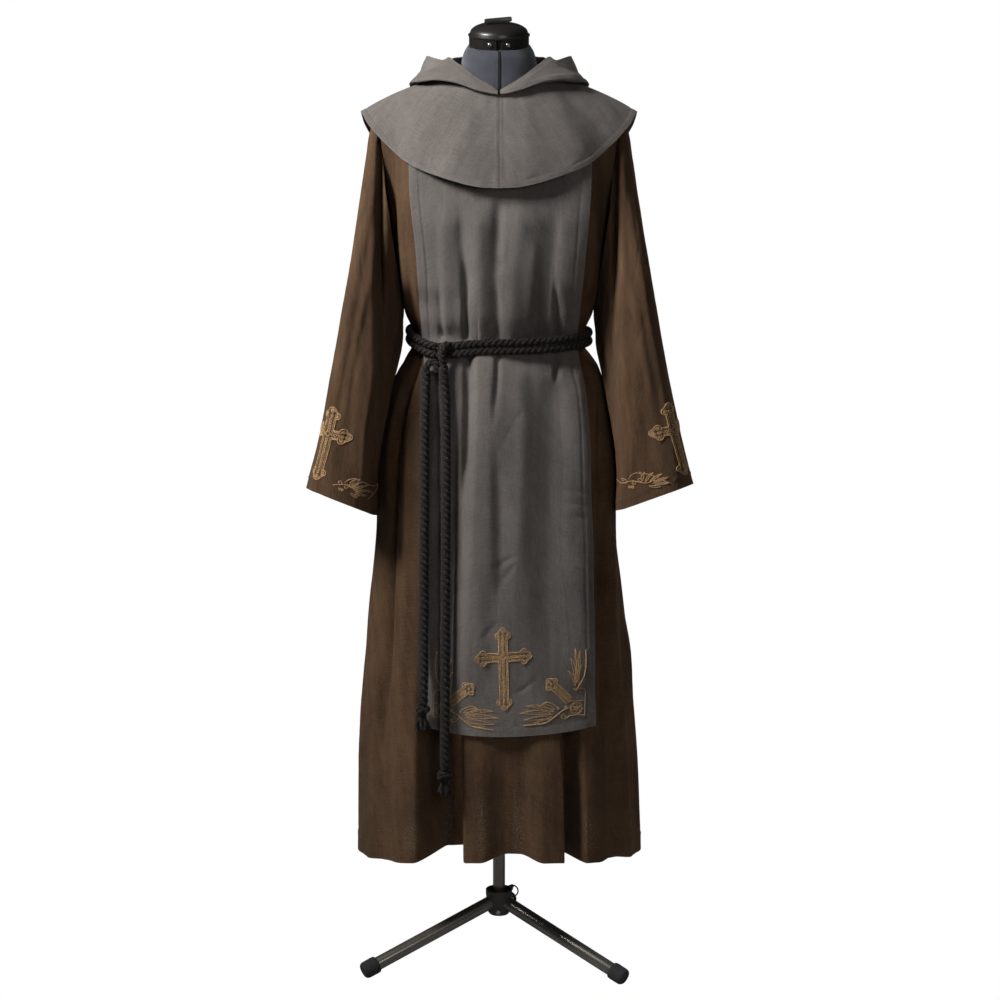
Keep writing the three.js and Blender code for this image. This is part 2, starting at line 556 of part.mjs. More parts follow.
// ---- Scapular ----
function scapularPanel(side) {
  const edges = side > 0 ? scapularFrontEdges : scapularBackEdges;
  const rows = [...yokeRows, 1, ...scapularRows.map(downAt)];
  const last = scapularInner + scapularOuter;
  const grid = rows.map((down) => {
    const rowZ = bodyPoint(side, 0.5, down).z;
    const edgeX = [along(edges, "z", "left", rowZ), along(edges, "z", "right", rowZ)];
    return [...Array(2 * last + 1).keys()].map((j) => {
      const step = Math.abs(j - last);
      const x = edgeX[j < last ? 0 : 1];
      const edge = Math.abs(acrossAt(side, x, down));
      const across = step <= scapularInner ? neckline.share * step / scapularInner
        : neckline.share + (edge - neckline.share) * (step - scapularInner) / scapularOuter;
      const p = bodyPointOut(side, Math.sign(j - last) * across, down, layerStep);
      p.z += scapularHemLift * smooth(downAt(700), downAt(459), down) * (p.x / x) ** 2;
      return p;
    });
  });
  const seamNormal = (i, j) => (i ? null
    : bodyNormal(side, acrossAt(side, grid[0][j].x, 0), 0).multiplyScalar(-side));
  return clothShell(grid, { seamNormal });
}

// ---- Cape ----
function capePoint(turn, s) {
  if (turn < 0 || turn > 180) return capePoint(turn < 0 ? -turn : 360 - turn, s).multiply(point(-1, 1, 1));
  const at = (column) => along(capeStations, "turn", column, turn);
  const a = radians(turn);
  const neck = point(at("neckR") * Math.sin(a), -at("neckR") * Math.cos(a), at("neckZ"));
  const edge = point(at("hemX"), at("hemY"), at("hemZ"));
  const outward = point(Math.sin(a), -Math.cos(a), 0);
  const chord = edge.clone().sub(neck);
  const up = outward.multiplyScalar(-chord.z).add(point(0, 0, Math.hypot(chord.x, chord.y))).normalize();
  return neck.addScaledVector(chord, s).addScaledVector(up, 4 * at("swell") * s * (1 - s));
}

// turns run from a place in front round to a place behind; mirror is -1 for the left piece.
function capePiece(turns, mirror) {
  const steps = [...Array(capeSteps + 1).keys()].map((i) => i / capeSteps);
  const flip = point(mirror, 1, 1);
  const surface = (turn, s) => capePoint(turn, s).multiply(flip);
  const grid = turns.map((turn) => steps.map((s) => surface(turn, s)));
  const seamNormal = (i, j) => normalOf((s, turn) => surface(turn, s), steps[j], turns[i], 0.01);
  return clothShell(grid, { seamNormal });
}
const halfGapTurn = 0.2; // half a seam's gap at the neck, as a turn
const frontTurns = [halfGapTurn, 9, 18, 27, 36, 45, 54, 63, 72, 81, capeSideTurn - halfGapTurn];
const backTurns = [...Array(19).keys()].map((i) => (
  clamp(capeSideTurn + 10 * i, capeSideTurn + halfGapTurn, 360 - capeSideTurn - halfGapTurn)));

// ---- Hood ----
function hoodPoint(turn, s) {
  if (turn > 180) return hoodPoint(360 - turn, s).multiply(point(-1, 1, 1));
  const at = (column) => along(hoodStations, "turn", column, turn);
  const marks = ["seam", "roll", "lap", "low", "out", "edge"];
  const path = new THREE.SplineCurve(marks.map((mark) => new THREE.Vector2(at(mark + "R"), at(mark + "Z"))));
  const p = path.getPointAt(clamp(s, 0, 1));
  const a = radians(turn);
  return point(p.x * Math.sin(a), -p.x * Math.cos(a), p.y);
}
const hoodTurns = [1.5, 10, 22, 36, 50, 63, 77, 92, 108, 125, 142, 160, 180];

function hoodHalf(side) {
  const steps = [...Array(hoodSteps + 1).keys()].map((i) => i / hoodSteps);
  const flip = point(side, 1, 1);
  const grid = hoodTurns.map((turn) => steps.map((s) => {
    const p = hoodPoint(turn, s);
    p.x = Math.max(p.x, seamGap / 2);
    return p.multiply(flip);
  }));
  const lastRow = hoodTurns.length - 1;
  const seamNormal = (i, j) => (i < lastRow ? null
    : normalOf((s, turn) => hoodPoint(turn, s).multiply(flip), steps[j], hoodTurns[i], 0.01));
  return clothShell(grid, { seamNormal });
}

// ---- Belt ----
function wrapRoute(z) {
  const route = [];
  for (let turn = 4; turn <= 356; turn += 8) {
    const a = radians(turn) + Math.asin(knot.x / wrap.half);
    const deep = Math.cos(a) > 0 ? wrap.front : wrap.back;
    const power = 2 / wrap.squareness;
    const x = wrap.half * Math.sign(Math.sin(a)) * Math.abs(Math.sin(a)) ** power;
    const y = -deep * Math.sign(Math.cos(a)) * Math.abs(Math.cos(a)) ** power;
    const sag = y < 0 ? wrapSag.depth * Math.exp(-(((x - wrapSag.x) / wrapSag.spread) ** 2)) : 0;
    route.push(point(x, y, z + wrap.tilt * x - sag));
  }
  return route;
}

const knotRoutes = {
  knot_loop: [[-94, -109, 1149], [-97, -111, 1138], [-99, -111, 1126], [-97, -110.5, 1112],
    [-95.5, -110.5, 1106], [-95.5, -110.5, 1098.2]],
  knot_turn: [[-126, -97, 1088.2], [-126, -97, 1095], [-118.5, -99, 1105.5], [-111.5, -102, 1098],
    [-110.5, -104, 1087], [-110.5, -104, 1077]],
};

function endKnotProfile(high) {
  const r = rope.radius;
  return [[0, 0], [r, 0], [1.7 * r, 0.18 * high], [2 * r, 0.5 * high], [1.7 * r, 0.82 * high], [r, high],
    [0, high]];
}

function tasselProfile({ tasselLong, spread }) {
  return [[0, -tasselLong], [spread, -tasselLong], [0.95 * spread, -0.6 * tasselLong],
    [0.7 * spread, -0.15 * tasselLong], [0.55 * spread, 0], [0, 0]];
}

// ---- Dress form ----
function formPoint(z, angle) {
  const power = 2 / 2.25;
  const [s, c] = [Math.sin(angle), Math.cos(angle)];
  const deep = along(formLevels, "z", c > 0 ? "front" : "back", z);
  const x = along(formLevels, "z", "half", z) * Math.sign(s) * Math.abs(s) ** power;
  const y = -deep * Math.sign(c) * Math.abs(c) ** power;
  const tip = smooth(1590, formLevels[0].z, z) * Math.tan(radians(cap.tilt));
  return point(x, y, z + y * tip);
}

function formBody() {
  const rings = formLevels.map(({ z }) => [...Array(formSides).keys()].map((j) => (
    formPoint(z, (j / formSides) * 2 * Math.PI))));
  return ringSolid(rings);
}

function neckStrip() {
  const rows = [...Array(strip.steps + 1).keys()].map((i) => (
    formPoint(strip.top + (strip.bottom - strip.top) * (i / strip.steps), 0)));
  const away = strip.clear + strip.thick / 2;
  return clothShell(rows.map((p) => [-0.5, 0.5].map((side) => point(side * strip.wide, p.y - away, p.z))),
    { wall: strip.thick });
}

function neckCap() {
  const lipTop = cap.band + cap.lipHigh;
  const top = lipTop + cap.dome;
  const profile = [[0, 0], [cap.radius, 0], [cap.radius, cap.band], [cap.lip, cap.band], [cap.lip, lipTop],
    [0.97 * cap.radius, lipTop + 0.12 * cap.dome], [0.9 * cap.radius, lipTop + 0.42 * cap.dome],
    [0.76 * cap.radius, lipTop + 0.72 * cap.dome], [0.55 * cap.radius, lipTop + 0.9 * cap.dome],
    [0.3 * cap.radius, lipTop + 0.98 * cap.dome], [0, top]];
  const cutter = new THREE.BoxGeometry(cap.slot, cap.slot, 2 * cap.band).translate(0, -cap.radius, 0);
  return fromSolid(toSolid(lathe(profile, 32)).subtract(toSolid(cutter)));
}

function pullTab() {
  const [w, h, r] = [tab.wide / 2, tab.high / 2, tab.round];
  const shape = new THREE.Shape();
  shape.moveTo(-w + r, -h).lineTo(w - r, -h).quadraticCurveTo(w, -h, w, -h + r).lineTo(w, h - r);
  shape.quadraticCurveTo(w, h, w - r, h).lineTo(-w + r, h).quadraticCurveTo(-w, h, -w, h - r);
  shape.lineTo(-w, -h + r).quadraticCurveTo(-w, -h, -w + r, -h);
  const bar = new THREE.ExtrudeGeometry(shape, { depth: tab.thick, bevelEnabled: false, curveSegments: 3 });
  return bar.translate(0, 0, -tab.thick / 2).rotateX(Math.PI / 2);
}

// ---- Stand ----
const legDrop = Math.tan(radians(leg.slope));
const footEndZ = leg.hubZ - (leg.end - leg.hubR) * legDrop;
const legLength = (leg.end - leg.inner) / Math.cos(radians(leg.slope));

// Turns a shape that stands on z = 0 so that it points up along a leg from the leg's outer end.
function alongLeg(geometry) {
  return geometry.rotateY(-radians(90 - leg.slope)).translate(leg.end, 0, footEndZ);
}

function legTube(radius, from, to) {
  const tube = new THREE.CylinderGeometry(radius, radius, to - from, 20).rotateX(Math.PI / 2);
  return alongLeg(tube.translate(0, 0, (from + to) / 2));
}

function rubberFoot() {
  const [r, e, bore] = [foot.radius, foot.round, leg.radius + hub.clear];
  const profile = [[0, 0], [r - e, 0], [r - 0.3 * e, 0.3 * e], [r, e], [r, foot.long - foot.lip],
    [r - foot.lip, foot.long], [bore, foot.long], [bore, foot.floor], [0, foot.floor]];
  const floorBlock = new THREE.BoxGeometry(4 * foot.long, 4 * foot.long, foot.long)
    .translate(leg.end, 0, -foot.long / 2);
  return fromSolid(toSolid(alongLeg(lathe(profile, 24))).subtract(toSolid(floorBlock)));
}

function hubBody(turns) {
  const profile = [[0, hub.bottom], [hub.foot, hub.bottom], [hub.foot + 3.5, hub.bottom + 3],
    [hub.radius, hub.bottom + 12], [hub.radius, hub.top], [hub.radius - hub.rimWall, hub.top],
    [hub.radius - hub.rimWall, hub.top - hub.dish], [pole.radius + hub.clear, hub.top - hub.dish],
    [pole.radius + hub.clear, pole.bottom - hub.clear], [0, pole.bottom - hub.clear]];
  let body = toSolid(lathe(profile, 24));
  for (const turn of turns) {
    const bore = legTube(leg.radius + hub.clear, foot.long, legLength + hub.clear);
    body = body.subtract(toSolid(bore.rotateZ(turn)));
  }
  return fromSolid(body);
}

function poleSocket() {
  const bore = pole.radius + hub.clear;
  const low = socket.top - socket.high;
  return lathe([[0, pole.top + seamGap], [bore, pole.top + seamGap], [bore, low], [socket.radius, low],
    [socket.radius, socket.top], [0, socket.top]], 24);
}

function lockPin() {
  const long = pin.to - pin.from;
  const profile = [[0, 0], [pin.radius, 0], [pin.radius, long], [pin.head, long],
    [pin.head, long + pin.headHigh], [0, long + pin.headHigh]];
  return lathe(profile, 16).rotateX(-Math.PI / 2);
}

// ---- The model ----
const model = new THREE.Group();
model.position.y = poleY;

function place(parent, name, geometry, material) {
  const mesh = new THREE.Mesh(geometry, material);
  mesh.name = name;
  parent.add(mesh);
  return mesh;
}

function group(parent = model) {
  const made = new THREE.Group();
  parent.add(made);
  return made;
}

const habit = group();
place(habit, "tunic_front", tunicPanel(1), materials.brownLinen);
place(habit, "tunic_back", tunicPanel(-1), materials.brownLinen);
for (const cut of sleeves) place(habit, "sleeve_" + cut.name, sleeve(cut), materials.brownLinen);
place(habit, "scapular_front", scapularPanel(1), materials.greyLinen);
place(habit, "scapular_back", scapularPanel(-1), materials.greyLinen);
place(habit, "cape_front_left", capePiece(frontTurns, -1), materials.greyLinen);
place(habit, "cape_front_right", capePiece(frontTurns, 1), materials.greyLinen);
place(habit, "cape_back", capePiece(backTurns, 1), materials.greyLinen);
place(habit, "hood_left", hoodHalf(-1), materials.greyLinen);
place(habit, "hood_right", hoodHalf(1), materials.greyLinen);

const belt = group();
place(belt, "belt_wrap_upper", ropeGeometry(wrapRoute(wrap.z + wrap.lift), wrap.step), materials.rope);
place(belt, "belt_wrap_lower", ropeGeometry(wrapRoute(wrap.z - wrap.lift), wrap.step), materials.rope);
for (const [name, route] of Object.entries(knotRoutes)) {
  place(belt, name, ropeGeometry(route.map((p) => point(...p)), rope.radius), materials.rope);
}
for (const end of hangingEnds) {
  const [x, y] = end.route[end.route.length - 1];
  place(belt, "rope_" + end.name, ropeGeometry(end.route.map((p) => point(...p))), materials.rope);
  const knotMesh = place(belt, "end_knot_" + end.name, lathe(endKnotProfile(end.knotHigh), 20), materials.rope);
  knotMesh.position.set(x, y, end.route[end.route.length - 1][2] - seamGap - end.knotHigh);
  const tasselMesh = place(belt, "tassel_" + end.name, lathe(tasselProfile(end), 20), materials.rope);
  tasselMesh.position.set(x, y, knotMesh.position.z - seamGap);
}

const form = group();
place(form, "form_body", formBody(), materials.jersey);
place(form, "neck_strip", neckStrip(), materials.blackTape);
const capGroup = group(form);
capGroup.position.z = cap.z;
capGroup.rotation.x = radians(cap.tilt);
place(capGroup, "neck_cap", neckCap(), materials.blackPlastic);
for (const side of [-1, 1]) {
  const head = new THREE.CylinderGeometry(screw.radius, screw.radius, screw.high, 14);
  const y = -Math.sqrt(cap.radius ** 2 - (screw.x - screw.radius) ** 2) - seamGap - screw.high / 2;
  place(capGroup, side < 0 ? "cap_screw_left" : "cap_screw_right", head, materials.steel)
    .position.set(side * screw.x, y, screw.up);
}
const tabMesh = place(form, "cap_tab", pullTab(), materials.blackPlastic);
tabMesh.position.set(tab.x, tab.y, tab.z);
tabMesh.rotation.y = radians(tab.lean);

const stand = group();
const legTurns = [0, 1, 2].map((i) => radians(90 - leg.turn + 120 * i));
place(stand, "pole_socket", poleSocket(), materials.darkCasting);
place(stand, "pole", new THREE.CylinderGeometry(pole.radius, pole.radius, pole.top - pole.bottom, 24)
  .rotateX(Math.PI / 2).translate(0, 0, (pole.top + pole.bottom) / 2), materials.bronzeTube);
place(stand, "hub", hubBody(legTurns), materials.darkCasting);
legTurns.forEach((turn, i) => {
  const arm = group(stand);
  arm.rotation.z = turn;
  place(arm, "leg_" + (i + 1), legTube(leg.radius, foot.floor + seamGap, legLength), materials.bronzeTube);
  place(arm, "foot_" + (i + 1), rubberFoot(), materials.rubber);
  const boltTurn = group(arm);
  boltTurn.rotation.z = radians(bolt.turn);
  place(boltTurn, "hub_bolt_" + (i + 1), new THREE.CylinderGeometry(bolt.radius, bolt.radius, bolt.high, 16)
    .rotateZ(Math.PI / 2).translate(hub.radius + seamGap + bolt.high / 2, 0, bolt.z), materials.steel);
});
place(stand, "lock_pin", lockPin(), materials.steel).position.set(pin.x, pin.from, pin.z);
const ringShape = new THREE.TorusGeometry(ring.radius, ring.wire, 8, 20).rotateX(Math.PI / 2);
place(stand, "pin_ring", ringShape, materials.steel).position.set(pin.x, ring.y, pin.z - ring.drop);

export default model;
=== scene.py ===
# A monk's habit on a limbless dress form: brown tunic, grey scapular, grey cape with its hood lying back,
# twisted rope belt, neck cap, pole and three-legged stand. Shapes are worked out in millimetres about the
# pole and turned into metres when a piece is made.
import math
import bpy
import numpy as np
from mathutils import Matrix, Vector


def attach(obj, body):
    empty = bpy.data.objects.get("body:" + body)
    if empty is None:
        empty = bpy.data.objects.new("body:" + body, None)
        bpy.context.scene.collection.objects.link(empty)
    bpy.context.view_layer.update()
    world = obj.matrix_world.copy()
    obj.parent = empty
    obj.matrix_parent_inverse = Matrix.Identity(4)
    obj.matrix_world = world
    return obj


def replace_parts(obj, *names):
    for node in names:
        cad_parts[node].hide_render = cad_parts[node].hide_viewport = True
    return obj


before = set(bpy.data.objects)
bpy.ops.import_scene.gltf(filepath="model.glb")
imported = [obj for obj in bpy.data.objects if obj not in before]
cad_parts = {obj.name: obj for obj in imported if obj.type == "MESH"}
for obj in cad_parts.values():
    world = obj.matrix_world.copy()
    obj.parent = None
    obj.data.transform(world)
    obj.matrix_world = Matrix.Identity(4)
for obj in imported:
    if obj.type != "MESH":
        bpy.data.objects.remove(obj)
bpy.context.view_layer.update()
scene = bpy.context.scene
poleY = -40.0
metres = 0.001
body = "root"
pi = math.pi

# camera
cameraLook = {"place": (0.0, -4.64, 1.714), "pitch": 10.7, "lens": 95.2, "shift": 0.001}
camera = bpy.data.objects.new("camera", bpy.data.cameras.new("camera"))
camera.location = cameraLook["place"]
camera.rotation_euler = (math.radians(90 - cameraLook["pitch"]), 0, 0)
camera.data.lens = cameraLook["lens"]
camera.data.sensor_width = 36
camera.data.shift_x = cameraLook["shift"]
scene.collection.objects.link(camera)
scene.camera = camera


# numbers
def smooth(low, high, at):
    t = np.clip((np.asarray(at, float) - low) / (high - low), 0, 1)
    return t * t * (3 - 2 * t)


def mix(a, b, share):
    return a + (b - a) * share


def along(keys, values, at):
    # a smooth curve through a table's column
    keys, values = np.asarray(keys, float), np.asarray(values, float)
    if keys[0] > keys[-1]:
        keys, values = keys[::-1], values[::-1]
    slopes = np.gradient(values)
    slopes[1:-1] = (values[2:] - values[:-2]) / (keys[2:] - keys[:-2])
    slopes[0] = (values[1] - values[0]) / (keys[1] - keys[0])
    slopes[-1] = (values[-1] - values[-2]) / (keys[-1] - keys[-2])
    at = np.clip(at, keys[0], keys[-1])
    i = np.clip(np.searchsorted(keys, at) - 1, 0, len(keys) - 2)
    step = keys[i + 1] - keys[i]
    s = (at - keys[i]) / step
    return ((2 * s**3 - 3 * s**2 + 1) * values[i] + (s**3 - 2 * s**2 + s) * step * slopes[i]
            + (3 * s**2 - 2 * s**3) * values[i + 1] + (s**3 - s**2) * step * slopes[i + 1])


def softNoise(x, y, seed):
    # smooth random waves, about -0.7 to 0.7, one wave to each unit of x and y
    turns = np.random.default_rng(seed).uniform(0, 2 * pi, (64, 64))
    xi, yi = np.floor(x).astype(int), np.floor(y).astype(int)
    fx, fy = x - xi, y - yi

    def corner(i, j):
        turn = turns[(xi + i) % 64, (yi + j) % 64]
        return np.cos(turn) * (fx - i) + np.sin(turn) * (fy - j)

    sx = fx**3 * (fx * (6 * fx - 15) + 10)
    sy = fy**3 * (fy * (6 * fy - 15) + 10)
    return 1.4 * mix(mix(corner(0, 0), corner(1, 0), sx), mix(corner(0, 1), corner(1, 1), sx), sy)


def unit(v):
    return v / np.maximum(np.linalg.norm(v, axis=-1, keepdims=True), 1e-9)


def stack(x, y, z):
    return np.stack(np.broadcast_arrays(x, y, z), axis=-1).astype(float)


def circle(count):
    # directions evenly round a circle
    return np.arange(count) * 2 * pi / count


def runAlong(points):
    # how far each point is along its line
    steps = np.linalg.norm(np.diff(points, axis=-2), axis=-1)
    return np.concatenate([np.zeros_like(steps[..., :1]), np.cumsum(steps, -1)], -1)


def readAt(at, run, points):
    return np.stack([np.interp(at, run, column) for column in points.T], 1)


# making meshes
def makePiece(name, points, faces, finish, place=None, sharp=None):
    points = (np.asarray(points, float) + (0, poleY, 0)) * metres
    faces = faces if isinstance(faces, list) else [faces]
    corners = np.concatenate([np.asarray(f).ravel() for f in faces]).astype(np.int32)
    sizes = np.concatenate([np.full(len(f), np.asarray(f).shape[1]) for f in faces])
    starts = np.concatenate([[0], np.cumsum(sizes)[:-1]]).astype(np.int32)
    mesh = bpy.data.meshes.new(name)
    mesh.vertices.add(len(points))
    mesh.loops.add(len(corners))
    mesh.polygons.add(len(sizes))
    mesh.vertices.foreach_set("co", points.astype(np.float32).ravel())
    mesh.loops.foreach_set("vertex_index", corners)
    mesh.polygons.foreach_set("loop_start", starts)
    mesh.polygons.foreach_set("use_smooth", np.ones(len(sizes), bool))
    mesh.update(calc_edges=True)
    mesh.validate()
    if sharp:
        mesh.set_sharp_from_angle(angle=math.radians(sharp))
    if place is not None:
        layer = mesh.attributes.new("clothPlace", "FLOAT_VECTOR", "POINT")
        layer.data.foreach_set("vector", (np.asarray(place) * metres).astype(np.float32).ravel())
    mesh.materials.append(finish)
    piece = bpy.data.objects.new(name, mesh)
    scene.collection.objects.link(piece)
    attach(piece, body)
    return piece


def joinParts(parts):
    # one set of points and faces from several pairs of them
    points, faces, base = [], {}, 0
    for p, sets in parts:
        for f in (sets if isinstance(sets, list) else [sets]):
            faces.setdefault(np.asarray(f).shape[1], []).append(np.asarray(f) + base)
        points.append(np.asarray(p, float))
        base += len(p)
    return np.concatenate(points), [np.concatenate(f) for f in faces.values()]


def joinPlaced(parts):
    # the same with the place on the cloth of every point
    points, faces = joinParts([part[:2] for part in parts])
    return points, faces, np.concatenate([part[2] for part in parts])


def gridNormals(grid, closed=False):
    if closed:
        acrossStep = np.roll(grid, -1, 1) - np.roll(grid, 1, 1)
    else:
        acrossStep = np.gradient(grid, axis=1)
    return unit(np.cross(np.gradient(grid, axis=0), acrossStep))


def ringQuads(rows, cols, closed):
    j = np.arange(cols if closed else cols - 1)
    i = np.arange(rows - 1)[:, None]
    k = (j + 1) % cols
    a, b = i * cols + j, i * cols + k
    return np.stack([a, a + cols, b + cols, b], -1).reshape(-1, 4)


def clothShell(outer, inner, closed=False):
    # a closed wall: outer is the fine side, and inner has every second row and column of it
    rows, cols = outer.shape[:2]
    inRows, inCols = inner.shape[:2]
    base = rows * cols
    faces = [ringQuads(rows, cols, closed), ringQuads(inRows, inCols, closed)[:, ::-1] + base]
    rims = []

    def rim(outIds, inIds, flip):
        for m in range(len(inIds) - 1):
            a, b, c = outIds[2 * m: 2 * m + 3]
            p, q = inIds[m], inIds[m + 1]
            made = [(a, b, p), (b, q, p), (b, c, q)]
            rims.extend([t[::-1] for t in made] if flip else made)

    outId = np.arange(base).reshape(rows, cols)
    inId = np.arange(inRows * inCols).reshape(inRows, inCols) + base
    if closed:
        outId, inId = np.hstack([outId, outId[:, :1]]), np.hstack([inId, inId[:, :1]])
    rim(outId[0], inId[0], False)
    rim(outId[-1], inId[-1], True)
    if not closed:
        rim(outId[:, 0], inId[:, 0], True)
        rim(outId[:, -1], inId[:, -1], False)
    return np.concatenate([outer.reshape(-1, 3), inner.reshape(-1, 3)]), faces + [np.array(rims)]


clothWall = 2.0


def makeCloth(name, grid, finish, replaced, place, trim=(0, 0, 0, 0), closed=False, turned=False):
    # grid is the middle of the cloth; trim drops rows and columns that only guide its edges
    normals = gridNormals(grid, closed) * (-1 if turned else 1)
    rows, cols = grid.shape[:2]
    keep = (slice(trim[0], rows - trim[1]), slice(trim[2], cols - trim[3]))
    grid, normals, place = grid[keep], normals[keep], place[keep]
    outer = grid + normals * clothWall / 2
    inner = (grid - normals * clothWall / 2)[::2, ::2]
    points, faces = clothShell(outer, inner, closed)
    if turned:
        faces = [f[:, ::-1] for f in faces]
    places = np.concatenate([place.reshape(-1, 3), place[::2, ::2].reshape(-1, 3)])
    piece = makePiece(name, points, faces, finish, places, sharp=62)
    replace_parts(piece, replaced)
    if closed:
        outer, normals, place = (np.concatenate([a, a[:, :1]], 1) for a in (outer, normals, place))
    return piece, Ground(outer, normals, place)


class Ground:
    # the outside of a piece of cloth, on which threads are laid
    def __init__(self, points, normals, place):
        self.points, self.normals, self.place = points, normals, place
        self.rows, self.cols = points.shape[:2]

    def sample(self, values, row, col):
        row, col = np.clip(row, 0, self.rows - 1.001), np.clip(col, 0, self.cols - 1.001)
        i, j = row.astype(int), col.astype(int)
        fr, fc = row - i, col - j
        if values.ndim > 2:
            fr, fc = fr[..., None], fc[..., None]
        above, below = (mix(values[k, j], values[k, j + 1], fc) for k in (i, i + 1))
        return mix(above, below, fr)

    def lift(self, row, col, height):
        height = (0.0 * row + height)[..., None]
        return self.sample(self.points, row, col) + self.sample(self.normals, row, col) * height

    def find(self, a, b, fieldA, fieldB):
        # the row and column where two fields, such as x and z, have the values a and b
        slopeA, slopeB = np.gradient(fieldA, axis=1), np.gradient(fieldB, axis=0)
        row = np.full(a.shape, self.rows / 2.0)
        col = np.full(a.shape, self.cols / 2.0)
        for attempt in range(24):
            da = (a - self.sample(fieldA, row, col)) / self.sample(slopeA, row, col)
            col = np.clip(col + np.clip(da, -20, 20), 0, self.cols - 1.001)
            db = (b - self.sample(fieldB, row, col)) / self.sample(slopeB, row, col)
            row = np.clip(row + np.clip(db, -30, 30), 0, self.rows - 1.001)
        return row, col


def ringSolid(rings):
    # a closed solid through rings of points, with a fan at each end, turned inside out if it has to be
    n, k = rings.shape[:2]
    points = np.concatenate([rings.reshape(-1, 3), rings[:1].mean(1), rings[-1:].mean(1)])
    ids, nxt = np.arange(k), (np.arange(k) + 1) % k
    first = np.stack([np.full(k, n * k), ids, nxt], -1)
    last = np.stack([np.full(k, n * k + 1), (n - 1) * k + nxt, (n - 1) * k + ids], -1)
    quads, fans = ringQuads(n, k, True), np.concatenate([first, last])
    q, f = (points[faces] - points.mean(0) for faces in (quads, fans))
    volume = (np.cross(q[:, 0], q[:, 1]) * q[:, 2]).sum() + (np.cross(q[:, 0], q[:, 2]) * q[:, 3]).sum()
    volume += (np.cross(f[:, 0], f[:, 1]) * f[:, 2]).sum()
    if volume < 0:
        quads, fans = quads[:, ::-1], fans[:, ::-1]
    return points, [quads, fans]


def ringPlaces(*columns):
    # places for a ringSolid, whose two end points take those of its first and last points
    place = stack(*columns).reshape(-1, 3)
    return np.concatenate([place, place[:1], place[-1:]])


def carried(side, tangent):
    # a direction square to a path and carried along it without twisting
    made = np.empty_like(tangent)
    for i, ahead in enumerate(tangent):
        side = side - ahead * (side @ ahead)
        side = side / max(np.linalg.norm(side), 1e-9)
        made[i] = side
    return made


def hoops(centre, side, other, radius, sides):
    # a ring of points round each centre
    c, s = np.cos(circle(sides))[:, None], np.sin(circle(sides))[:, None]
    return centre[:, None] + radius[:, None, None] * (side[:, None] * c + other[:, None] * s)


def tube(path, radius, sides, up):
    # a closed tube along a path, with a radius for each point
    tangent = unit(np.gradient(path, axis=0))
    side = carried(up, tangent)
    return ringSolid(hoops(path, side, np.cross(tangent, side), radius, sides))


def turnedSolid(rings, low, high):
    # a closed solid from level rings, with fans to the middle at the heights low and high
    n, sides = rings.shape[:2]
    points = np.concatenate([rings.reshape(-1, 3), [(0, 0, low), (0, 0, high)]])
    ids, nxt = np.arange(sides), (np.arange(sides) + 1) % sides
    foot = np.stack([np.full(sides, n * sides), nxt, ids], -1)
    head = np.stack([np.full(sides, n * sides + 1), (n - 1) * sides + ids, (n - 1) * sides + nxt], -1)
    return points, [ringQuads(n, sides, True)[:, ::-1], np.concatenate([foot, head])]


def lathe(profile, sides, shape=None):
    # a turned solid; shape may push its points about
    profile = np.asarray(profile, float)
    angle = circle(sides)
    r, z = profile[1:-1, :1], profile[1:-1, 1:]
    rings = stack(r * np.sin(angle), -r * np.cos(angle), z + 0 * angle)
    if shape:
        rings = shape(rings, angle)
    return turnedSolid(rings, profile[0, 1], profile[-1, 1])


def rounded(profile, radius, steps=4):
    # a profile with its corners rounded off, for lathe
    p = [np.asarray(q, float) for q in profile]
    made = [p[0]]
    for before, at, after in zip(p, p[1:-1], p[2:]):
        a, b = before - at, after - at
        cut = min(radius, np.linalg.norm(a) / 2.2, np.linalg.norm(b) / 2.2)
        start, end = at + cut * a / np.linalg.norm(a), at + cut * b / np.linalg.norm(b)
        for t in np.linspace(0, 1, steps + 1):
            made.append((1 - t)**2 * start + 2 * t * (1 - t) * at + t * t * end)
    return made + [p[-1]]


def turnPoints(points, axis, degrees):
    a = math.radians(degrees)
    c, s = math.cos(a), math.sin(a)
    i, j = {"x": (1, 2), "y": (2, 0), "z": (0, 1)}[axis]
    made = np.array(points, float)
    made[..., i] = points[..., i] * c - points[..., j] * s
    made[..., j] = points[..., i] * s + points[..., j] * c
    return made


# finishes
def dye(*levels):
    # a colour from 0 to 255 as the shader wants it
    return (*(((v / 255 + 0.055) / 1.055)**2.4 if v > 10 else v / 3294 for v in levels), 1.0)


class Wire:
    # one socket of a finish; sums on it add Math nodes
    def __init__(self, finish, socket):
        self.finish, self.socket = finish, socket

    def math(self, operation, *others):
        return self.finish.add("ShaderNodeMath", {"operation": operation}, [self, *others])

    def __add__(self, other):
        return self.math("ADD", other)

    def __mul__(self, other):
        return self.math("MULTIPLY", other)

    def __sub__(self, other):
        return self.math("SUBTRACT", other)

    def __rsub__(self, other):
        return self.finish.add("ShaderNodeMath", {"operation": "SUBTRACT"}, [other, self])

    def __pow__(self, other):
        return self.math("POWER", other)

    __radd__ = __add__
    __rmul__ = __mul__

    def between(self, low, high):
        return self.finish.add("ShaderNodeMapRange", {"interpolation_type": "SMOOTHSTEP"},
                               [self, low, high, 0, 1])


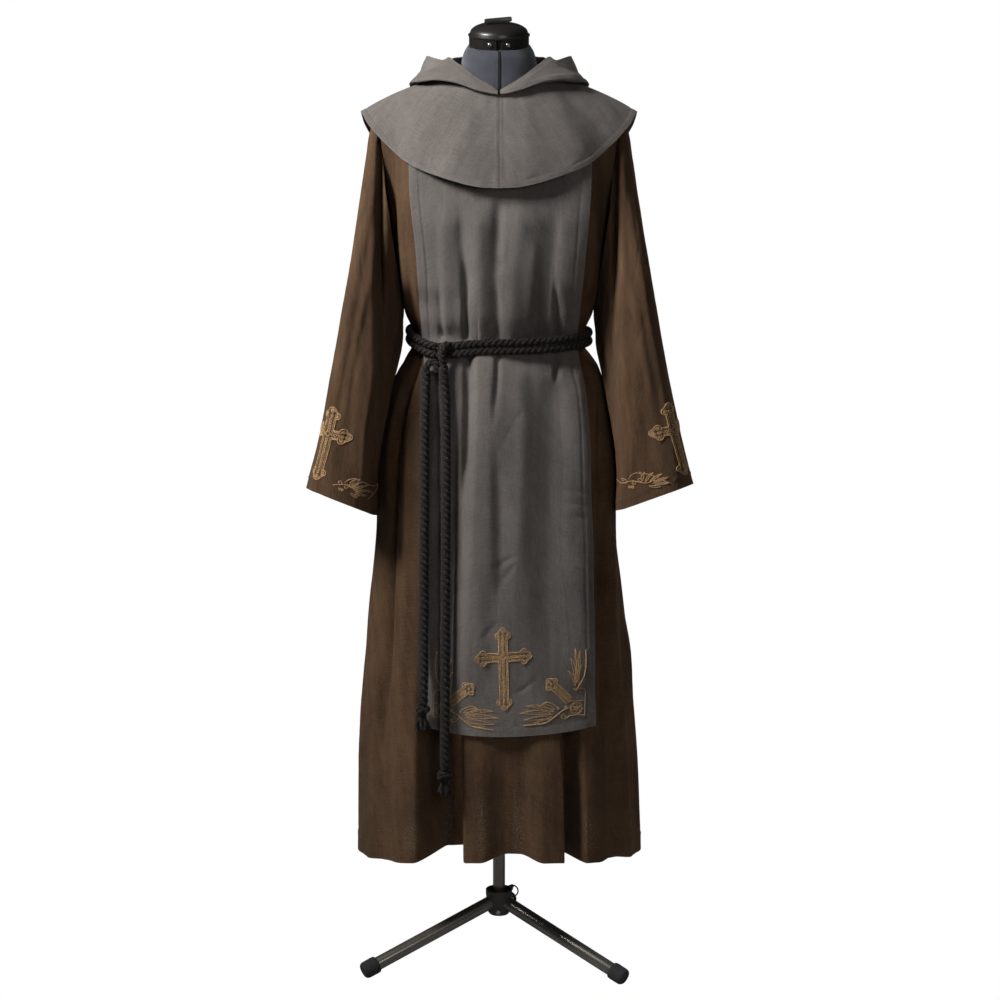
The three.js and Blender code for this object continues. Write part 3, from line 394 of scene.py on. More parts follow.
class Finish:
    # a material whose nodes are made by add()
    def __init__(self, name):
        self.material = bpy.data.materials.new(name)
        self.material.use_nodes = True
        self.tree = self.material.node_tree
        self.shader = self.tree.nodes["Principled BSDF"]

    def add(self, kind, settings=None, values=None, output=0):
        node = self.tree.nodes.new(kind)
        for key, value in (settings or {}).items():
            setattr(node, key, value)
        pairs = values.items() if isinstance(values, dict) else enumerate(values or [])
        for key, value in pairs:
            self.feed(node.inputs[key], value)
        return Wire(self, node.outputs[output])

    def feed(self, socket, value):
        if isinstance(value, Wire):
            self.tree.links.new(value.socket, socket)
        else:
            socket.default_value = value

    def parts(self, vector):
        split = self.add("ShaderNodeSeparateXYZ", None, [vector]).socket.node
        return [Wire(self, out) for out in split.outputs]

    def vector(self, x, y, z):
        return self.add("ShaderNodeCombineXYZ", None, [x, y, z])

    def attribute(self, name, output):
        return self.add("ShaderNodeAttribute", {"attribute_name": name}, None, output)

    def objectPlace(self):
        return self.add("ShaderNodeTexCoord", None, None, "Object")

    def noise(self, vector, scale, detail=2.0, roughness=0.5):
        return self.add("ShaderNodeTexNoise", None,
                        {"Vector": vector, "Scale": scale, "Detail": detail, "Roughness": roughness}, "Fac")

    def blend(self, share, a, b):
        return self.add("ShaderNodeMix", {"data_type": "RGBA"}, {0: share, 6: a, 7: b}, 2)

    def bump(self, height, distance):
        return self.add("ShaderNodeBump", None, {"Strength": 1.0, "Distance": distance, "Height": height})

    def surface(self, **values):
        for key, value in values.items():
            self.feed(self.shader.inputs[key.replace("_", " ")], value)
        return self.material


def linen(name, look):
    # plain-woven linen: threads, thicker slubs, uneven dye and hems that have worn paler
    n = Finish(name)
    u, v, edge = n.parts(n.attribute("clothPlace", "Vector"))
    turn = pi / look["thread"]
    weave = (u * turn).math("SINE") * (v * turn).math("SINE")
    slubU = n.noise(n.vector(u * 38, v * 900, look["seed"]), 1.0, 3.0)
    slubV = n.noise(n.vector(u * 900, v * 38, look["seed"] + 4), 1.0, 3.0)
    cloud = n.noise(n.vector(u, v, look["seed"] + 8), 7.0, 4.0, 0.6)
    fine = n.noise(n.vector(u, v, look["seed"] + 11), 260.0, 2.0)
    streak = n.noise(n.vector(u * 60, v * 4, look["seed"] + 15), 1.0, 3.0)
    share = 0.5 + (cloud - 0.5) * 0.9 + (slubU + slubV - 1.0) * 0.55
    share = share + (fine - 0.5) * 0.35 + (streak - 0.5) * 0.4
    cloth = n.blend(share.between(0.05, 0.95), look["dark"], look["light"])
    worn = (1.0 - edge.between(0.0005, 0.003)) * (0.1 + 0.3 * slubU)
    cloth = n.blend(worn, cloth, look["worn"])
    if look["marks"]:
        mark = n.attribute("marks", "Fac")
        grain = n.noise(n.vector(u * 1.2, v, 2.0), 330.0, 3.0, 0.7).between(0.5, 0.72)
        cloth = n.blend(mark * grain * look["marks"], cloth, look["markColour"])
    rough = 0.88 - 0.1 * share
    height = weave * 0.45 + slubU * 1.1 + slubV * 1.1 + fine * 0.5
    return n.surface(Base_Color=cloth, Roughness=rough, Normal=n.bump(height, look["relief"]),
                     Sheen_Weight=look["sheen"], Sheen_Roughness=0.45, Sheen_Tint=look["sheenTint"],
                     Specular_IOR_Level=0.18)


def yarn(name, look):
    # fibres laid along a twisted strand, whose place runs along it and round it
    n = Finish(name)
    length, turn, strand = n.parts(n.attribute("clothPlace", "Vector"))
    ply = ((length * look["ply"] + turn * 1000 * look["plies"]).math("SINE") * 0.5 + 0.5)**0.7
    fibre = n.noise(n.vector(length * 160, turn * 9000, strand * 1000), 1.0, 3.0)
    fuzz = n.noise(n.vector(length * 900, turn * 12000, 3.0), 1.0, 2.0)
    share = (ply * 0.45 + fibre * 0.8 - 0.15).between(0.0, 1.0)
    colour = n.blend(share, look["dark"], look["light"])
    return n.surface(Base_Color=colour, Roughness=0.92 - 0.1 * fibre,
                     Normal=n.bump(ply + fibre * 0.7 + fuzz * 0.4, look["relief"]),
                     Sheen_Weight=look["sheen"], Sheen_Roughness=0.5, Specular_IOR_Level=0.15)


def thread(name, look):
    # a plied sewing or embroidery thread
    n = Finish(name)
    place = n.objectPlace()
    x, y, z = n.parts(place)
    tone = n.noise(place, look["patch"], 3.0, 0.7)
    twist = ((x + y * 0.6 + z * 1.4) * look["twist"]).math("SINE") * 0.5 + 0.5
    share = (tone * 1.5 + twist * 0.35 - 0.45).between(0.0, 1.0)
    return n.surface(Base_Color=n.blend(share, look["dark"], look["light"]),
                     Roughness=look["rough"] + 0.15 * twist, Metallic=look["metal"] * share,
                     Normal=n.bump(twist + tone * 0.5, 0.00025), Sheen_Weight=look["sheen"])


def jerseyKnit(name, look):
    # fine knitted jersey: ribs of loops under a short nap
    n = Finish(name)
    u, v = n.parts(n.attribute("clothPlace", "Vector"))[:2]
    turn = 2 * pi / look["wale"]
    wale = (u * turn).math("SINE")
    loop = (v * turn + wale.math("ABSOLUTE") * 2.0).math("SINE")
    fuzz = n.noise(n.vector(u, v, 1.0), 900.0, 2.0)
    cloud = n.noise(n.vector(u, v, 5.0), 22.0, 3.0)
    share = (cloud * 0.7 + fuzz * 0.5 - 0.1).between(0.1, 0.9)
    return n.surface(Base_Color=n.blend(share, look["dark"], look["light"]),
                     Roughness=0.82 + 0.1 * fuzz,
                     Normal=n.bump(wale * 0.6 + loop * 0.4 + fuzz * 0.5, look["relief"]),
                     Sheen_Weight=0.35, Sheen_Roughness=0.4, Specular_IOR_Level=0.2)


def moulded(name, look):
    # plastic, rubber or cast metal with faint flow marks and dust
    n = Finish(name)
    place = n.objectPlace()
    x, y, z = n.parts(place)
    grain = n.noise(place, look["grain"], 3.0, 0.6)
    cloud = n.noise(place, 18.0, 3.0)
    brushed = n.noise(n.vector(x * 700, y * 700, z * 12), 1.0, 2.0)
    share = (cloud * 0.8 + grain * 0.5 - 0.15).between(0.0, 1.0)
    rough = look["rough"] + look["uneven"] * (grain - 0.5) + look["brush"] * (brushed - 0.5)
    return n.surface(Base_Color=n.blend(share, look["dark"], look["light"]),
                     Roughness=rough.between(0.0, 1.0),
                     Metallic=look["metal"], Coat_Weight=look["coat"], Coat_Roughness=0.06,
                     Normal=n.bump(grain + brushed * look["brush"] * 6, look["relief"]))


brownLinen = linen("brownLinen", {
    "thread": 0.00085, "seed": 1.0, "dark": dye(66, 48, 34), "light": dye(113, 87, 64),
    "worn": dye(110, 86, 66), "relief": 0.0006, "sheen": 0.07, "sheenTint": dye(190, 160, 130),
    "marks": 0.85, "markColour": dye(146, 136, 121)})
greyLinen = linen("greyLinen", {
    "thread": 0.0008, "seed": 21.0, "dark": dye(91, 86, 82), "light": dye(129, 122, 117),
    "worn": dye(138, 132, 126), "relief": 0.0006, "sheen": 0.12, "sheenTint": dye(200, 196, 192),
    "marks": 0.0})
brownThread = thread("brownThread", {
    "dark": dye(52, 38, 26), "light": dye(92, 71, 52), "rough": 0.7, "metal": 0.0, "sheen": 0.2,
    "twist": 3000, "patch": 90.0})
greyThread = thread("greyThread", {
    "dark": dye(76, 72, 69), "light": dye(124, 118, 113), "rough": 0.7, "metal": 0.0, "sheen": 0.2,
    "twist": 3000, "patch": 90.0})
goldThread = thread("goldThread", {
    "dark": dye(84, 58, 36), "light": dye(255, 208, 148), "rough": 0.36, "metal": 0.3, "sheen": 0.1,
    "twist": 3600, "patch": 420.0})
ropeYarn = yarn("ropeYarn", {
    "ply": 900.0, "plies": 5.0, "dark": dye(11, 9, 8), "light": dye(50, 43, 37), "relief": 0.0009,
    "sheen": 0.1})
jersey = jerseyKnit("jersey", {
    "wale": 0.0013, "dark": dye(62, 63, 70), "light": dye(88, 90, 99), "relief": 0.0003})
# black tape darkened almost to nothing: partly the tape's own black, partly painted shade of the slit down
# the neck
blackTapeAndSlitShade = moulded("blackTapeAndSlitShade", {
    "grain": 900.0, "dark": dye(3, 3, 3), "light": dye(9, 9, 10), "rough": 0.75, "uneven": 0.2,
    "brush": 0.05, "metal": 0.0, "coat": 0.0, "relief": 0.0001})
blackPlastic = moulded("blackPlastic", {
    "grain": 260.0, "dark": dye(22, 20, 19), "light": dye(38, 35, 33), "rough": 0.42, "uneven": 0.12,
    "brush": 0.0, "metal": 0.0, "coat": 0.12, "relief": 0.00003})
steel = moulded("steel", {
    "grain": 500.0, "dark": dye(168, 166, 160), "light": dye(214, 212, 206), "rough": 0.34, "uneven": 0.2,
    "brush": 0.15, "metal": 1.0, "coat": 0.0, "relief": 0.00003})
darkWire = moulded("darkWire", {
    "grain": 500.0, "dark": dye(28, 28, 28), "light": dye(52, 51, 49), "rough": 0.4, "uneven": 0.2,
    "brush": 0.1, "metal": 0.8, "coat": 0.2, "relief": 0.00003})
bronzeTube = moulded("bronzeTube", {
    "grain": 400.0, "dark": dye(108, 104, 97), "light": dye(136, 131, 123), "rough": 0.36, "uneven": 0.05,
    "brush": 0.05, "metal": 0.7, "coat": 0.1, "relief": 0.00003})
darkCasting = moulded("darkCasting", {
    "grain": 420.0, "dark": dye(58, 57, 54), "light": dye(86, 84, 79), "rough": 0.52, "uneven": 0.2,
    "brush": 0.05, "metal": 0.6, "coat": 0.0, "relief": 0.0001})
rubber = moulded("rubber", {
    "grain": 600.0, "dark": dye(30, 30, 31), "light": dye(56, 56, 56), "rough": 0.8, "uneven": 0.15,
    "brush": 0.0, "metal": 0.0, "coat": 0.0, "relief": 0.00008})
print("finishes made")


# rope
ropeLook = {"radius": 7.0, "strands": 3, "lay": 28.0, "step": 2.4, "sides": 10, "strandShare": 0.5,
            "hangRadius": 9.0, "hangLay": 33.0, "uneven": 0.05}


def curveThrough(route, step):
    # evenly spaced points on a smooth curve through the route
    p = np.asarray(route, float)
    p = np.concatenate([[2 * p[0] - p[1]], p, [2 * p[-1] - p[-2]]])
    made = []
    for a, b, c, d in zip(p, p[1:], p[2:], p[3:]):
        t0, t1, t2 = [math.sqrt(np.linalg.norm(n - m)) for m, n in ((a, b), (b, c), (c, d))]
        ma = ((b - a) / t0 - (c - a) / (t0 + t1) + (c - b) / t1) * t1
        mb = ((c - b) / t1 - (d - b) / (t1 + t2) + (d - c) / t2) * t1
        s = np.linspace(0, 1, 40, endpoint=False)[:, None]
        made.append((2 * s**3 - 3 * s**2 + 1) * b + (s**3 - 2 * s**2 + s) * ma
                    + (3 * s**2 - 2 * s**3) * c + (s**3 - s**2) * mb)
    made = np.concatenate(made + [p[-2:-1]])
    run = runAlong(made)
    return readAt(np.linspace(0, run[-1], max(4, int(round(run[-1] / step)) + 1)), run, made)


def strandRope(path, radius, lay, sides, seed, twistStart=0.0):
    # strands laid round each other along a path; their place is (length, turn, strand)
    run, strands = runAlong(path), ropeLook["strands"]
    tangent = unit(np.gradient(path, axis=0))
    side = carried(np.array((0.3, -0.8, 0.52)), tangent)
    other = np.cross(tangent, side)
    strandRadius = radius * ropeLook["strandShare"]
    orbit = radius - strandRadius
    chance = np.random.default_rng(seed)
    parts = []
    for k in range(strands):
        turn = twistStart - run * 2 * pi / lay + k * 2 * pi / strands
        wander = ropeLook["uneven"] * softNoise(run / 23, run * 0 + 3.5 * k, seed)
        out = side * np.cos(turn)[:, None] + other * np.sin(turn)[:, None]
        centre = path + orbit * (1 + wander[:, None]) * out
        thick = strandRadius * (1 + ropeLook["uneven"] * softNoise(run / 9, run * 0 + 7.1 * k, seed + 1))
        ahead = unit(np.gradient(centre, axis=0))
        out = unit(out - ahead * (out * ahead).sum(1, keepdims=True))
        rings = hoops(centre, out, np.cross(ahead, out), thick, sides)
        shift = chance.uniform(0, 50)
        place = ringPlaces(run[:, None] + shift, circle(sides) + 0 * run[:, None], k * 3.0)
        parts.append((*ringSolid(rings), place))
    return joinPlaced(parts)


def ropePiece(name, path, replaced, **look):
    settings = {"radius": ropeLook["radius"], "lay": ropeLook["lay"], "sides": ropeLook["sides"], **look}
    points, faces, places = strandRope(path, **settings)
    piece = makePiece(name, points, faces, ropeYarn, places)
    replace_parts(piece, replaced)
    return piece


hangingEnds = {
    "left": {"knotHigh": 17, "tasselLong": 31, "spread": 18, "seed": 5, "route": [
        (-126, -98.5, 1087.8), (-126, -98.5, 1080), (-127, -106, 1045), (-127.5, -112.5, 1010),
        (-128, -119.5, 950), (-128.5, -127.5, 880), (-129, -134.5, 810), (-129.5, -141.5, 740),
        (-130, -149.5, 670), (-130.5, -160.5, 600), (-131, -172.5, 550), (-131, -175.5, 530),
        (-131, -175.5, 517.5)]},
    "right": {"knotHigh": 20, "tasselLong": 28, "spread": 16, "seed": 9, "route": [
        (-95.5, -112, 1097.8), (-95.5, -112, 1088), (-92.5, -114.5, 1055), (-91.5, -119.5, 1020),
        (-91, -124.5, 970), (-91, -131.5, 900), (-91.5, -139.5, 820), (-92, -147.5, 740),
        (-92.5, -155.5, 660), (-93, -164.5, 580), (-93.5, -174.5, 510), (-94, -182.5, 450),
        (-94, -184.5, 425), (-94, -184.5, 404)]},
}
tasselLook = {"strands": 11, "strandRadius": 2.7, "threads": 46, "threadRadius": 0.45, "root": 3.2}
endKnotLook = {"turns": 1.75, "from": 2.2, "out": 8.0, "tuck": 4.5, "tuckShare": 0.12, "radius": 5.6,
               "lay": 22.0, "coreRadius": 6.4, "coreLay": 28.0, "sides": 9}


def endKnot(look, x, y, top):
    # the rope wound nearly twice round its own core, with both ends of the turns tucked under
    knot, high, seed = endKnotLook, look["knotHigh"], look["seed"]
    wound = []
    for t in np.linspace(0, 1, 44):
        turn = t * 2 * pi * knot["turns"] + knot["from"]
        out = knot["out"] + 1.2 * math.sin(turn * 1.5 + seed)
        near = min(t, 1 - t) / knot["tuckShare"]
        if near < 1:
            out -= knot["tuck"] * (1 - near)
        z = top - 3.5 - (high - 8.5) * t + 1.6 * math.sin(turn * 2 + seed)
        wound.append((x + out * math.sin(turn), y - out * math.cos(turn), z))
    core = np.array([(x, y, top + 1.5 - (high + 2) * t) for t in np.linspace(0, 1, 12)])
    return joinPlaced([
        strandRope(curveThrough(wound, 2.0), knot["radius"], knot["lay"], knot["sides"], seed),
        strandRope(core, knot["coreRadius"], knot["coreLay"], knot["sides"], seed + 1)])


def tassel(look, x, y, top):
    # the rope's own strands, opened out, and finer threads among them
    chance = np.random.default_rng(look["seed"])
    parts = []

    def strand(turn, reach, length, radius, curl, sides):
        t, root = np.linspace(0, 1, 12), tasselLook["root"]
        away = root + (reach - root) * smooth(0, 0.9, t) - curl * np.maximum(t - 0.7, 0) * 2
        swing = turn + 0.35 * np.sin(t * 3 + turn * 3)
        path = stack(x + away * np.sin(swing), y - away * np.cos(swing), top + 1.5 - length * t)
        thick = radius * (1.0 - 0.22 * t**3) * (1 + 0.12 * np.sin(t * 13 + turn))
        thick[-1] *= 0.55
        place = ringPlaces(length * t[:, None] + 10 * turn, circle(sides) + 0 * t[:, None], turn)
        parts.append((*tube(path, thick, sides, np.array((0.31, 0.52, 0.79))), place))

    for k in range(tasselLook["strands"]):
        turn = (k + chance.uniform(-0.25, 0.25)) * 2 * pi / tasselLook["strands"]
        outer = k % 3 != 0
        reach = look["spread"] * chance.uniform(0.72, 0.86) if outer else look["spread"] * 0.35
        strand(turn, reach - 2, look["tasselLong"] * chance.uniform(0.84, 0.99),
               tasselLook["strandRadius"], chance.uniform(-3, 5), 9)
    for k in range(tasselLook["threads"]):
        strand(chance.uniform(0, 2 * pi), look["spread"] * chance.uniform(0.2, 0.95),
               look["tasselLong"] * chance.uniform(0.8, 1.03),
               tasselLook["threadRadius"], chance.uniform(-2, 4), 4)
    return joinPlaced(parts)


for side, look in hangingEnds.items():
    path = curveThrough(look["route"], ropeLook["step"])
    hanging = ropePiece("ropeEnd." + side, path, "rope_" + side, seed=look["seed"],
                        twistStart=look["seed"] * 1.3, radius=ropeLook["hangRadius"],
                        lay=ropeLook["hangLay"])
    x, y, low = look["route"][-1]
    knotTop = low - 0.5
    points, faces, places = endKnot(look, x, y, knotTop)
    knotPiece = makePiece("endKnot." + side, points, faces, ropeYarn, places)
    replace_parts(knotPiece, "end_knot_" + side)
    points, faces, places = tassel(look, x, y, knotTop - look["knotHigh"])
    tasselPiece = makePiece("tassel." + side, points, faces, ropeYarn, places)
    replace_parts(tasselPiece, "tassel_" + side)
    worldPath = (path + (0, poleY, 0)) * metres
    long = float(np.linalg.norm(np.diff(worldPath, axis=0), axis=1).sum())
print("hanging rope ends made")

beltLook = {"z": 1131.5, "lift": 7.25, "tilt": 0.035, "half": 157, "front": 112, "back": 106,
            "squareness": 2.45, "knotX": -97, "lay": 31.0, "knotLay": 25.0}
beltRise = np.array([  # x in front and how much the wraps rise there
    (-158, 15), (-150, 10), (-138, 4.5), (-120, -2), (-104, -5), (-88, -4), (-55, -0.5), (-25, 1), (20, 0),
    (160, 0)])


def wrapRoute(z):
    # one turn round the waist, from behind the knot back to it
    b = beltLook
    a = np.radians(np.linspace(0.6, 359.4, 61)) + math.asin(b["knotX"] / b["half"])
    power = 2 / b["squareness"]
    deep = np.where(np.cos(a) > 0, b["front"], b["back"])
    x = b["half"] * np.sign(np.sin(a)) * np.abs(np.sin(a))**power
    y = -deep * np.sign(np.cos(a)) * np.abs(np.cos(a))**power
    front = along(beltRise[:, 0], beltRise[:, 1], x)
    behind = 15 * smooth(0, -158, x)
    return stack(x, y, z + b["tilt"] * x + np.where(y < 0, front, behind))


for number, (name, lift) in enumerate((("upper", beltLook["lift"]), ("lower", -beltLook["lift"]))):
    path = curveThrough(wrapRoute(beltLook["z"] + lift), ropeLook["step"])
    ropePiece("beltWrap." + name, path, "belt_wrap_" + name, seed=31 + number, twistStart=1.1 * number,
              lay=beltLook["lay"])
knotRoutes = {
    "knot_loop": [
        (-80, -99.5, 1126), (-84, -103.5, 1132.5), (-89.5, -108.5, 1136), (-95, -111.5, 1130.5),
        (-98.2, -112.5, 1121), (-97.6, -112.2, 1112), (-96, -111.2, 1104), (-95.5, -110.5, 1098.2)],
    "knot_turn": [
        (-126, -97, 1088.2), (-124.6, -98.5, 1094), (-120.8, -101.5, 1101), (-114.5, -103.8, 1105),
        (-108.6, -106.2, 1102.5), (-106.2, -107.5, 1096), (-104.6, -105.5, 1090), (-101, -101, 1089),
        (-98, -98, 1093)],
}
for number, (name, route) in enumerate(knotRoutes.items()):
    ropePiece("belt." + name, curveThrough(route, 2.0), name, seed=41 + number, lay=beltLook["knotLay"])
print("belt made")


# the habit's body
armhole = {"x": 185, "lean": 21, "z": 1348.5, "rise": 163.5, "reach": 70}
armpitZ = armhole["z"] - armhole["rise"]
hem = {"z": 236, "sideDip": 28}
neckline = {"half": 84, "sideZ": 1570, "share": 0.335, "front": (74, 1546), "back": (69, 1576)}
yokeFullness = {"front": 0.2, "back": 0.8}
squareness = 2.2
seamGap = 0.5
layerStep = 5  # from the middle of one layer of cloth to the middle of the next
waistZ = 1131
belowBelt, aboveBelt = 1118, 1146  # where gathers start on either side of the belt

bodyLevels = np.array([  # z, half width, shift, depth in front, depth behind
    (1348, 185, 0, 126, 108), (1185, 164, 0, 116, 104), (1166, 158, 0, 107, 98), (1148, 147.5, 0, 98, 92),
    (1130, 146, 0, 97, 91), (1112, 147.5, 0, 98, 92), (1090, 168, 0, 106, 101), (1050, 187, -1, 111, 108),
    (1005, 198, -2, 115, 113), (905, 211, -4, 124, 124), (800, 210, -6, 134, 136),
    (700, 221, -4.5, 144, 148), (590, 232.5, -3, 155, 160), (480, 244, -3, 166, 172),
    (370, 251, -1, 176, 181), (230, 255, 0.5, 188, 192)])
frontFolds = [  # where each trough starts, has its floor and ends, its depth and lift at the hem, its top
    (-0.93, -0.83, -0.79, -0.68, 5, 0, 980), (-0.74, -0.62, -0.57, -0.45, 13, 0, 900),
    (-0.38, -0.28, -0.17, -0.13, 84, 12, 1040), (-0.07, 0.03, 0.08, 0.18, 25, 11, 640),
    (0.27, 0.3, 0.335, 0.39, 56, 6, 1000), (0.46, 0.58, 0.63, 0.74, 16, 2, 940),
    (0.7, 0.8, 0.84, 0.93, 5, 0, 860)]
backFolds = [
    (-0.86, -0.77, -0.72, -0.62, 16, 2, 900), (-0.52, -0.47, -0.39, -0.36, 48, 5, 1020),
    (-0.25, -0.17, -0.085, -0.01, 20, 2, 820), (0.085, 0.13, 0.19, 0.25, 54, 5, 1050),
    (0.42, 0.51, 0.55, 0.64, 18, 2, 860), (0.72, 0.78, 0.83, 0.9, 24, 3, 960)]


def sectionPoint(side, across, endX, endY, deep, z):
    angle = np.abs(across) * pi / 2
    x = np.sign(across) * endX * np.sin(angle)**(2 / squareness)
    y = endY + (deep - endY) * np.maximum(np.cos(angle), 0)**(2 / squareness)
    return stack(x, -side * y, z)


def topEdgePoint(side, across):
    neckY, neckZ = (np.where(side > 0, *pair) for pair in zip(neckline["front"], neckline["back"]))
    share = np.abs(across) / neckline["share"]
    angle = np.minimum(share, 1) * pi / 2
    z = neckZ + (neckline["sideZ"] - neckZ) * (1 - np.cos(angle))
    y = np.maximum(neckY * np.cos(angle), seamGap / 2)
    neck = stack(np.sign(across) * neckline["half"] * np.sin(angle), -side * y, z)
    s = (np.abs(across) - neckline["share"]) / (1 - neckline["share"])
    x = mix(neckline["half"], armhole["x"] + armhole["lean"], s)
    tip = stack(np.sign(across) * x, -side * seamGap / 2,
                mix(neckline["sideZ"], armhole["z"] + armhole["rise"], s))
    return np.where((share <= 1)[..., None], neck, tip)


def bodyPoint(side, across, down):
    # across runs from -1 to 1 between the side seams, and down from 0 at the shoulder through 1 at the
    # armpit to 2 at the hem; past a seam the body goes on along the other panel
    across, down = np.broadcast_arrays(np.asarray(across, float), np.asarray(down, float))
    side = np.where(down < 0, -side, side)
    down = np.abs(down)
    over = np.abs(across) > 1
    side = np.where(over & (down > 1), -side, side)
    across = np.where(over, np.sign(across) * np.where(down > 1, 2 - np.abs(across), 1), across)
    level = bodyLevels[:, 0]

    def levelAt(column, z):  # averaged over a short stretch, which rounds the waist
        return sum(along(level, bodyLevels[:, column], z + step) for step in (-13, -6.5, 0, 6.5, 13)) / 5

    def deepAt(z):
        return np.where(side > 0, levelAt(3, z), levelAt(4, z))

    z = armpitZ + (hem["z"] - armpitZ) * (down - 1)
    half = mix(levelAt(1, z), along(level, bodyLevels[:, 1], z), smooth(armpitZ - 22, armpitZ, z))
    skirt = sectionPoint(side, across, half, seamGap / 2, deepAt(z), z)
    skirt[..., 2] -= hem["sideDip"] * (skirt[..., 0] / half)**2 * np.maximum(down - 1, 0)**4
    skirt[..., 0] += along(level, bodyLevels[:, 2], z)
    angle = np.minimum(down, 1) * pi
    lower = np.maximum(angle, pi / 2)
    chestZ = armhole["z"] + armhole["rise"] * np.cos(lower)
    endX = armhole["x"] + armhole["lean"] * np.cos(lower)
    endY = np.maximum(armhole["reach"] * np.sin(lower), seamGap / 2)
    nearEdge = smooth(0.72, 1.0, np.abs(across))
    eased = endY * mix(smooth(armpitZ, armpitZ + 55, chestZ), 1.0, nearEdge)
    chest = sectionPoint(side, across, endX, eased, deepAt(chestZ), chestZ)
    top = topEdgePoint(side, across)
    fullness = np.where(side > 0, yokeFullness["front"], yokeFullness["back"])
    curve = fullness + (1 - fullness) * smooth(0.1, 0.6, np.abs(across))
    fall = 1 - np.cos(np.minimum(angle, pi / 2))
    out = np.sin(np.minimum(angle, pi / 2)) * curve + fall**0.7 * (1 - curve)
    yoke = mix(top, chest, fall[..., None])
    yoke[..., 1] = top[..., 1] + (chest[..., 1] - top[..., 1]) * out
    made = np.where((angle < pi / 2)[..., None], yoke, chest)
    return np.where((down >= 1)[..., None], skirt, made)


def bodyNormal(side, across, down):
    step = 0.004
    acrossStep = bodyPoint(side, across + step, down) - bodyPoint(side, across - step, down)
    downStep = bodyPoint(side, across, down + step) - bodyPoint(side, across, down - step)
    return unit(np.cross(acrossStep, downStep)) * -side


def acrossAt(side, x, down):
    # the place across the body where it has the given x
    low, high = np.full(np.shape(down), -1.0), np.full(np.shape(down), 1.0)
    for halving in range(40):
        middle = (low + high) / 2
        less = bodyPoint(side, middle, down)[..., 0] < x
        low, high = np.where(less, middle, low), np.where(less, high, middle)
    return (low + high) / 2


def downAt(z):
    return 1 + (armpitZ - z) / (armpitZ - hem["z"])


def foldSums(folds, across, z):
    # how deep the folds are at each point, and how far they lift the hem
    deep, lifted = 0, 0
    for start, floorA, floorB, end, depth, lift, topZ in folds:
        shape = np.minimum(smooth(start, floorA, across), 1 - smooth(floorB, end, across))
        fade = 1 - smooth(hem["z"], topZ, z)
        deep, lifted = deep + depth * shape * fade, lifted + lift * shape * fade
    return deep, lifted


def crease(x, z, height, widths, marks, ends=(0.2, 0.3)):
    # a soft ridge or trough along a line of (x, z) marks, with its widths to the left and right; ends are
    # the shares of its length over which it starts and dies away
    best, hand, run = np.full(x.shape, 1e9), np.zeros(x.shape), np.zeros(x.shape)
    start = 0.0
    for (ax, az), (bx, bz) in zip(marks, marks[1:]):
        dx, dz = bx - ax, bz - az
        long = math.hypot(dx, dz)
        t = np.clip(((x - ax) * dx + (z - az) * dz) / long**2, 0, 1)
        offX, offZ = x - ax - dx * t, z - az - dz * t
        away = np.hypot(offX, offZ)
        near = away < best
        best = np.where(near, away, best)
        hand = np.where(near, offX if abs(dz) >= abs(dx) else offZ, hand)
        run = np.where(near, start + t * long, run)
        start += long
    share = run / start
    fade = smooth(0, ends[0], share) if ends[0] else 1
    fade = fade * (1 - smooth(1 - ends[1], 1, share) if ends[1] else 1)
    return height * fade * np.exp(-(best / np.where(hand < 0, widths[0], widths[1]))**2)


def creaseSum(x, z, table):
    return sum(crease(x, z, *row) for row in table)


def clothNoise(u, v, seed, scales):
    # uneven relief: (height, size across, size along the hang) rows
    return sum(high * softNoise(u / wide + 31.7 * k, v / long + 17.3 * k, seed + k)
               for k, (high, wide, long) in enumerate(scales))


def ridge(away, wide, power=2):
    return np.exp(-(away / wide)**power)


def runsOf(grid):
    # how far each point is across the cloth from its middle column, and down it from its first row
    acrossRun, middle = runAlong(grid), grid.shape[1] // 2
    return acrossRun - acrossRun[:, middle:middle + 1], runAlong(grid.swapaxes(0, 1)).T


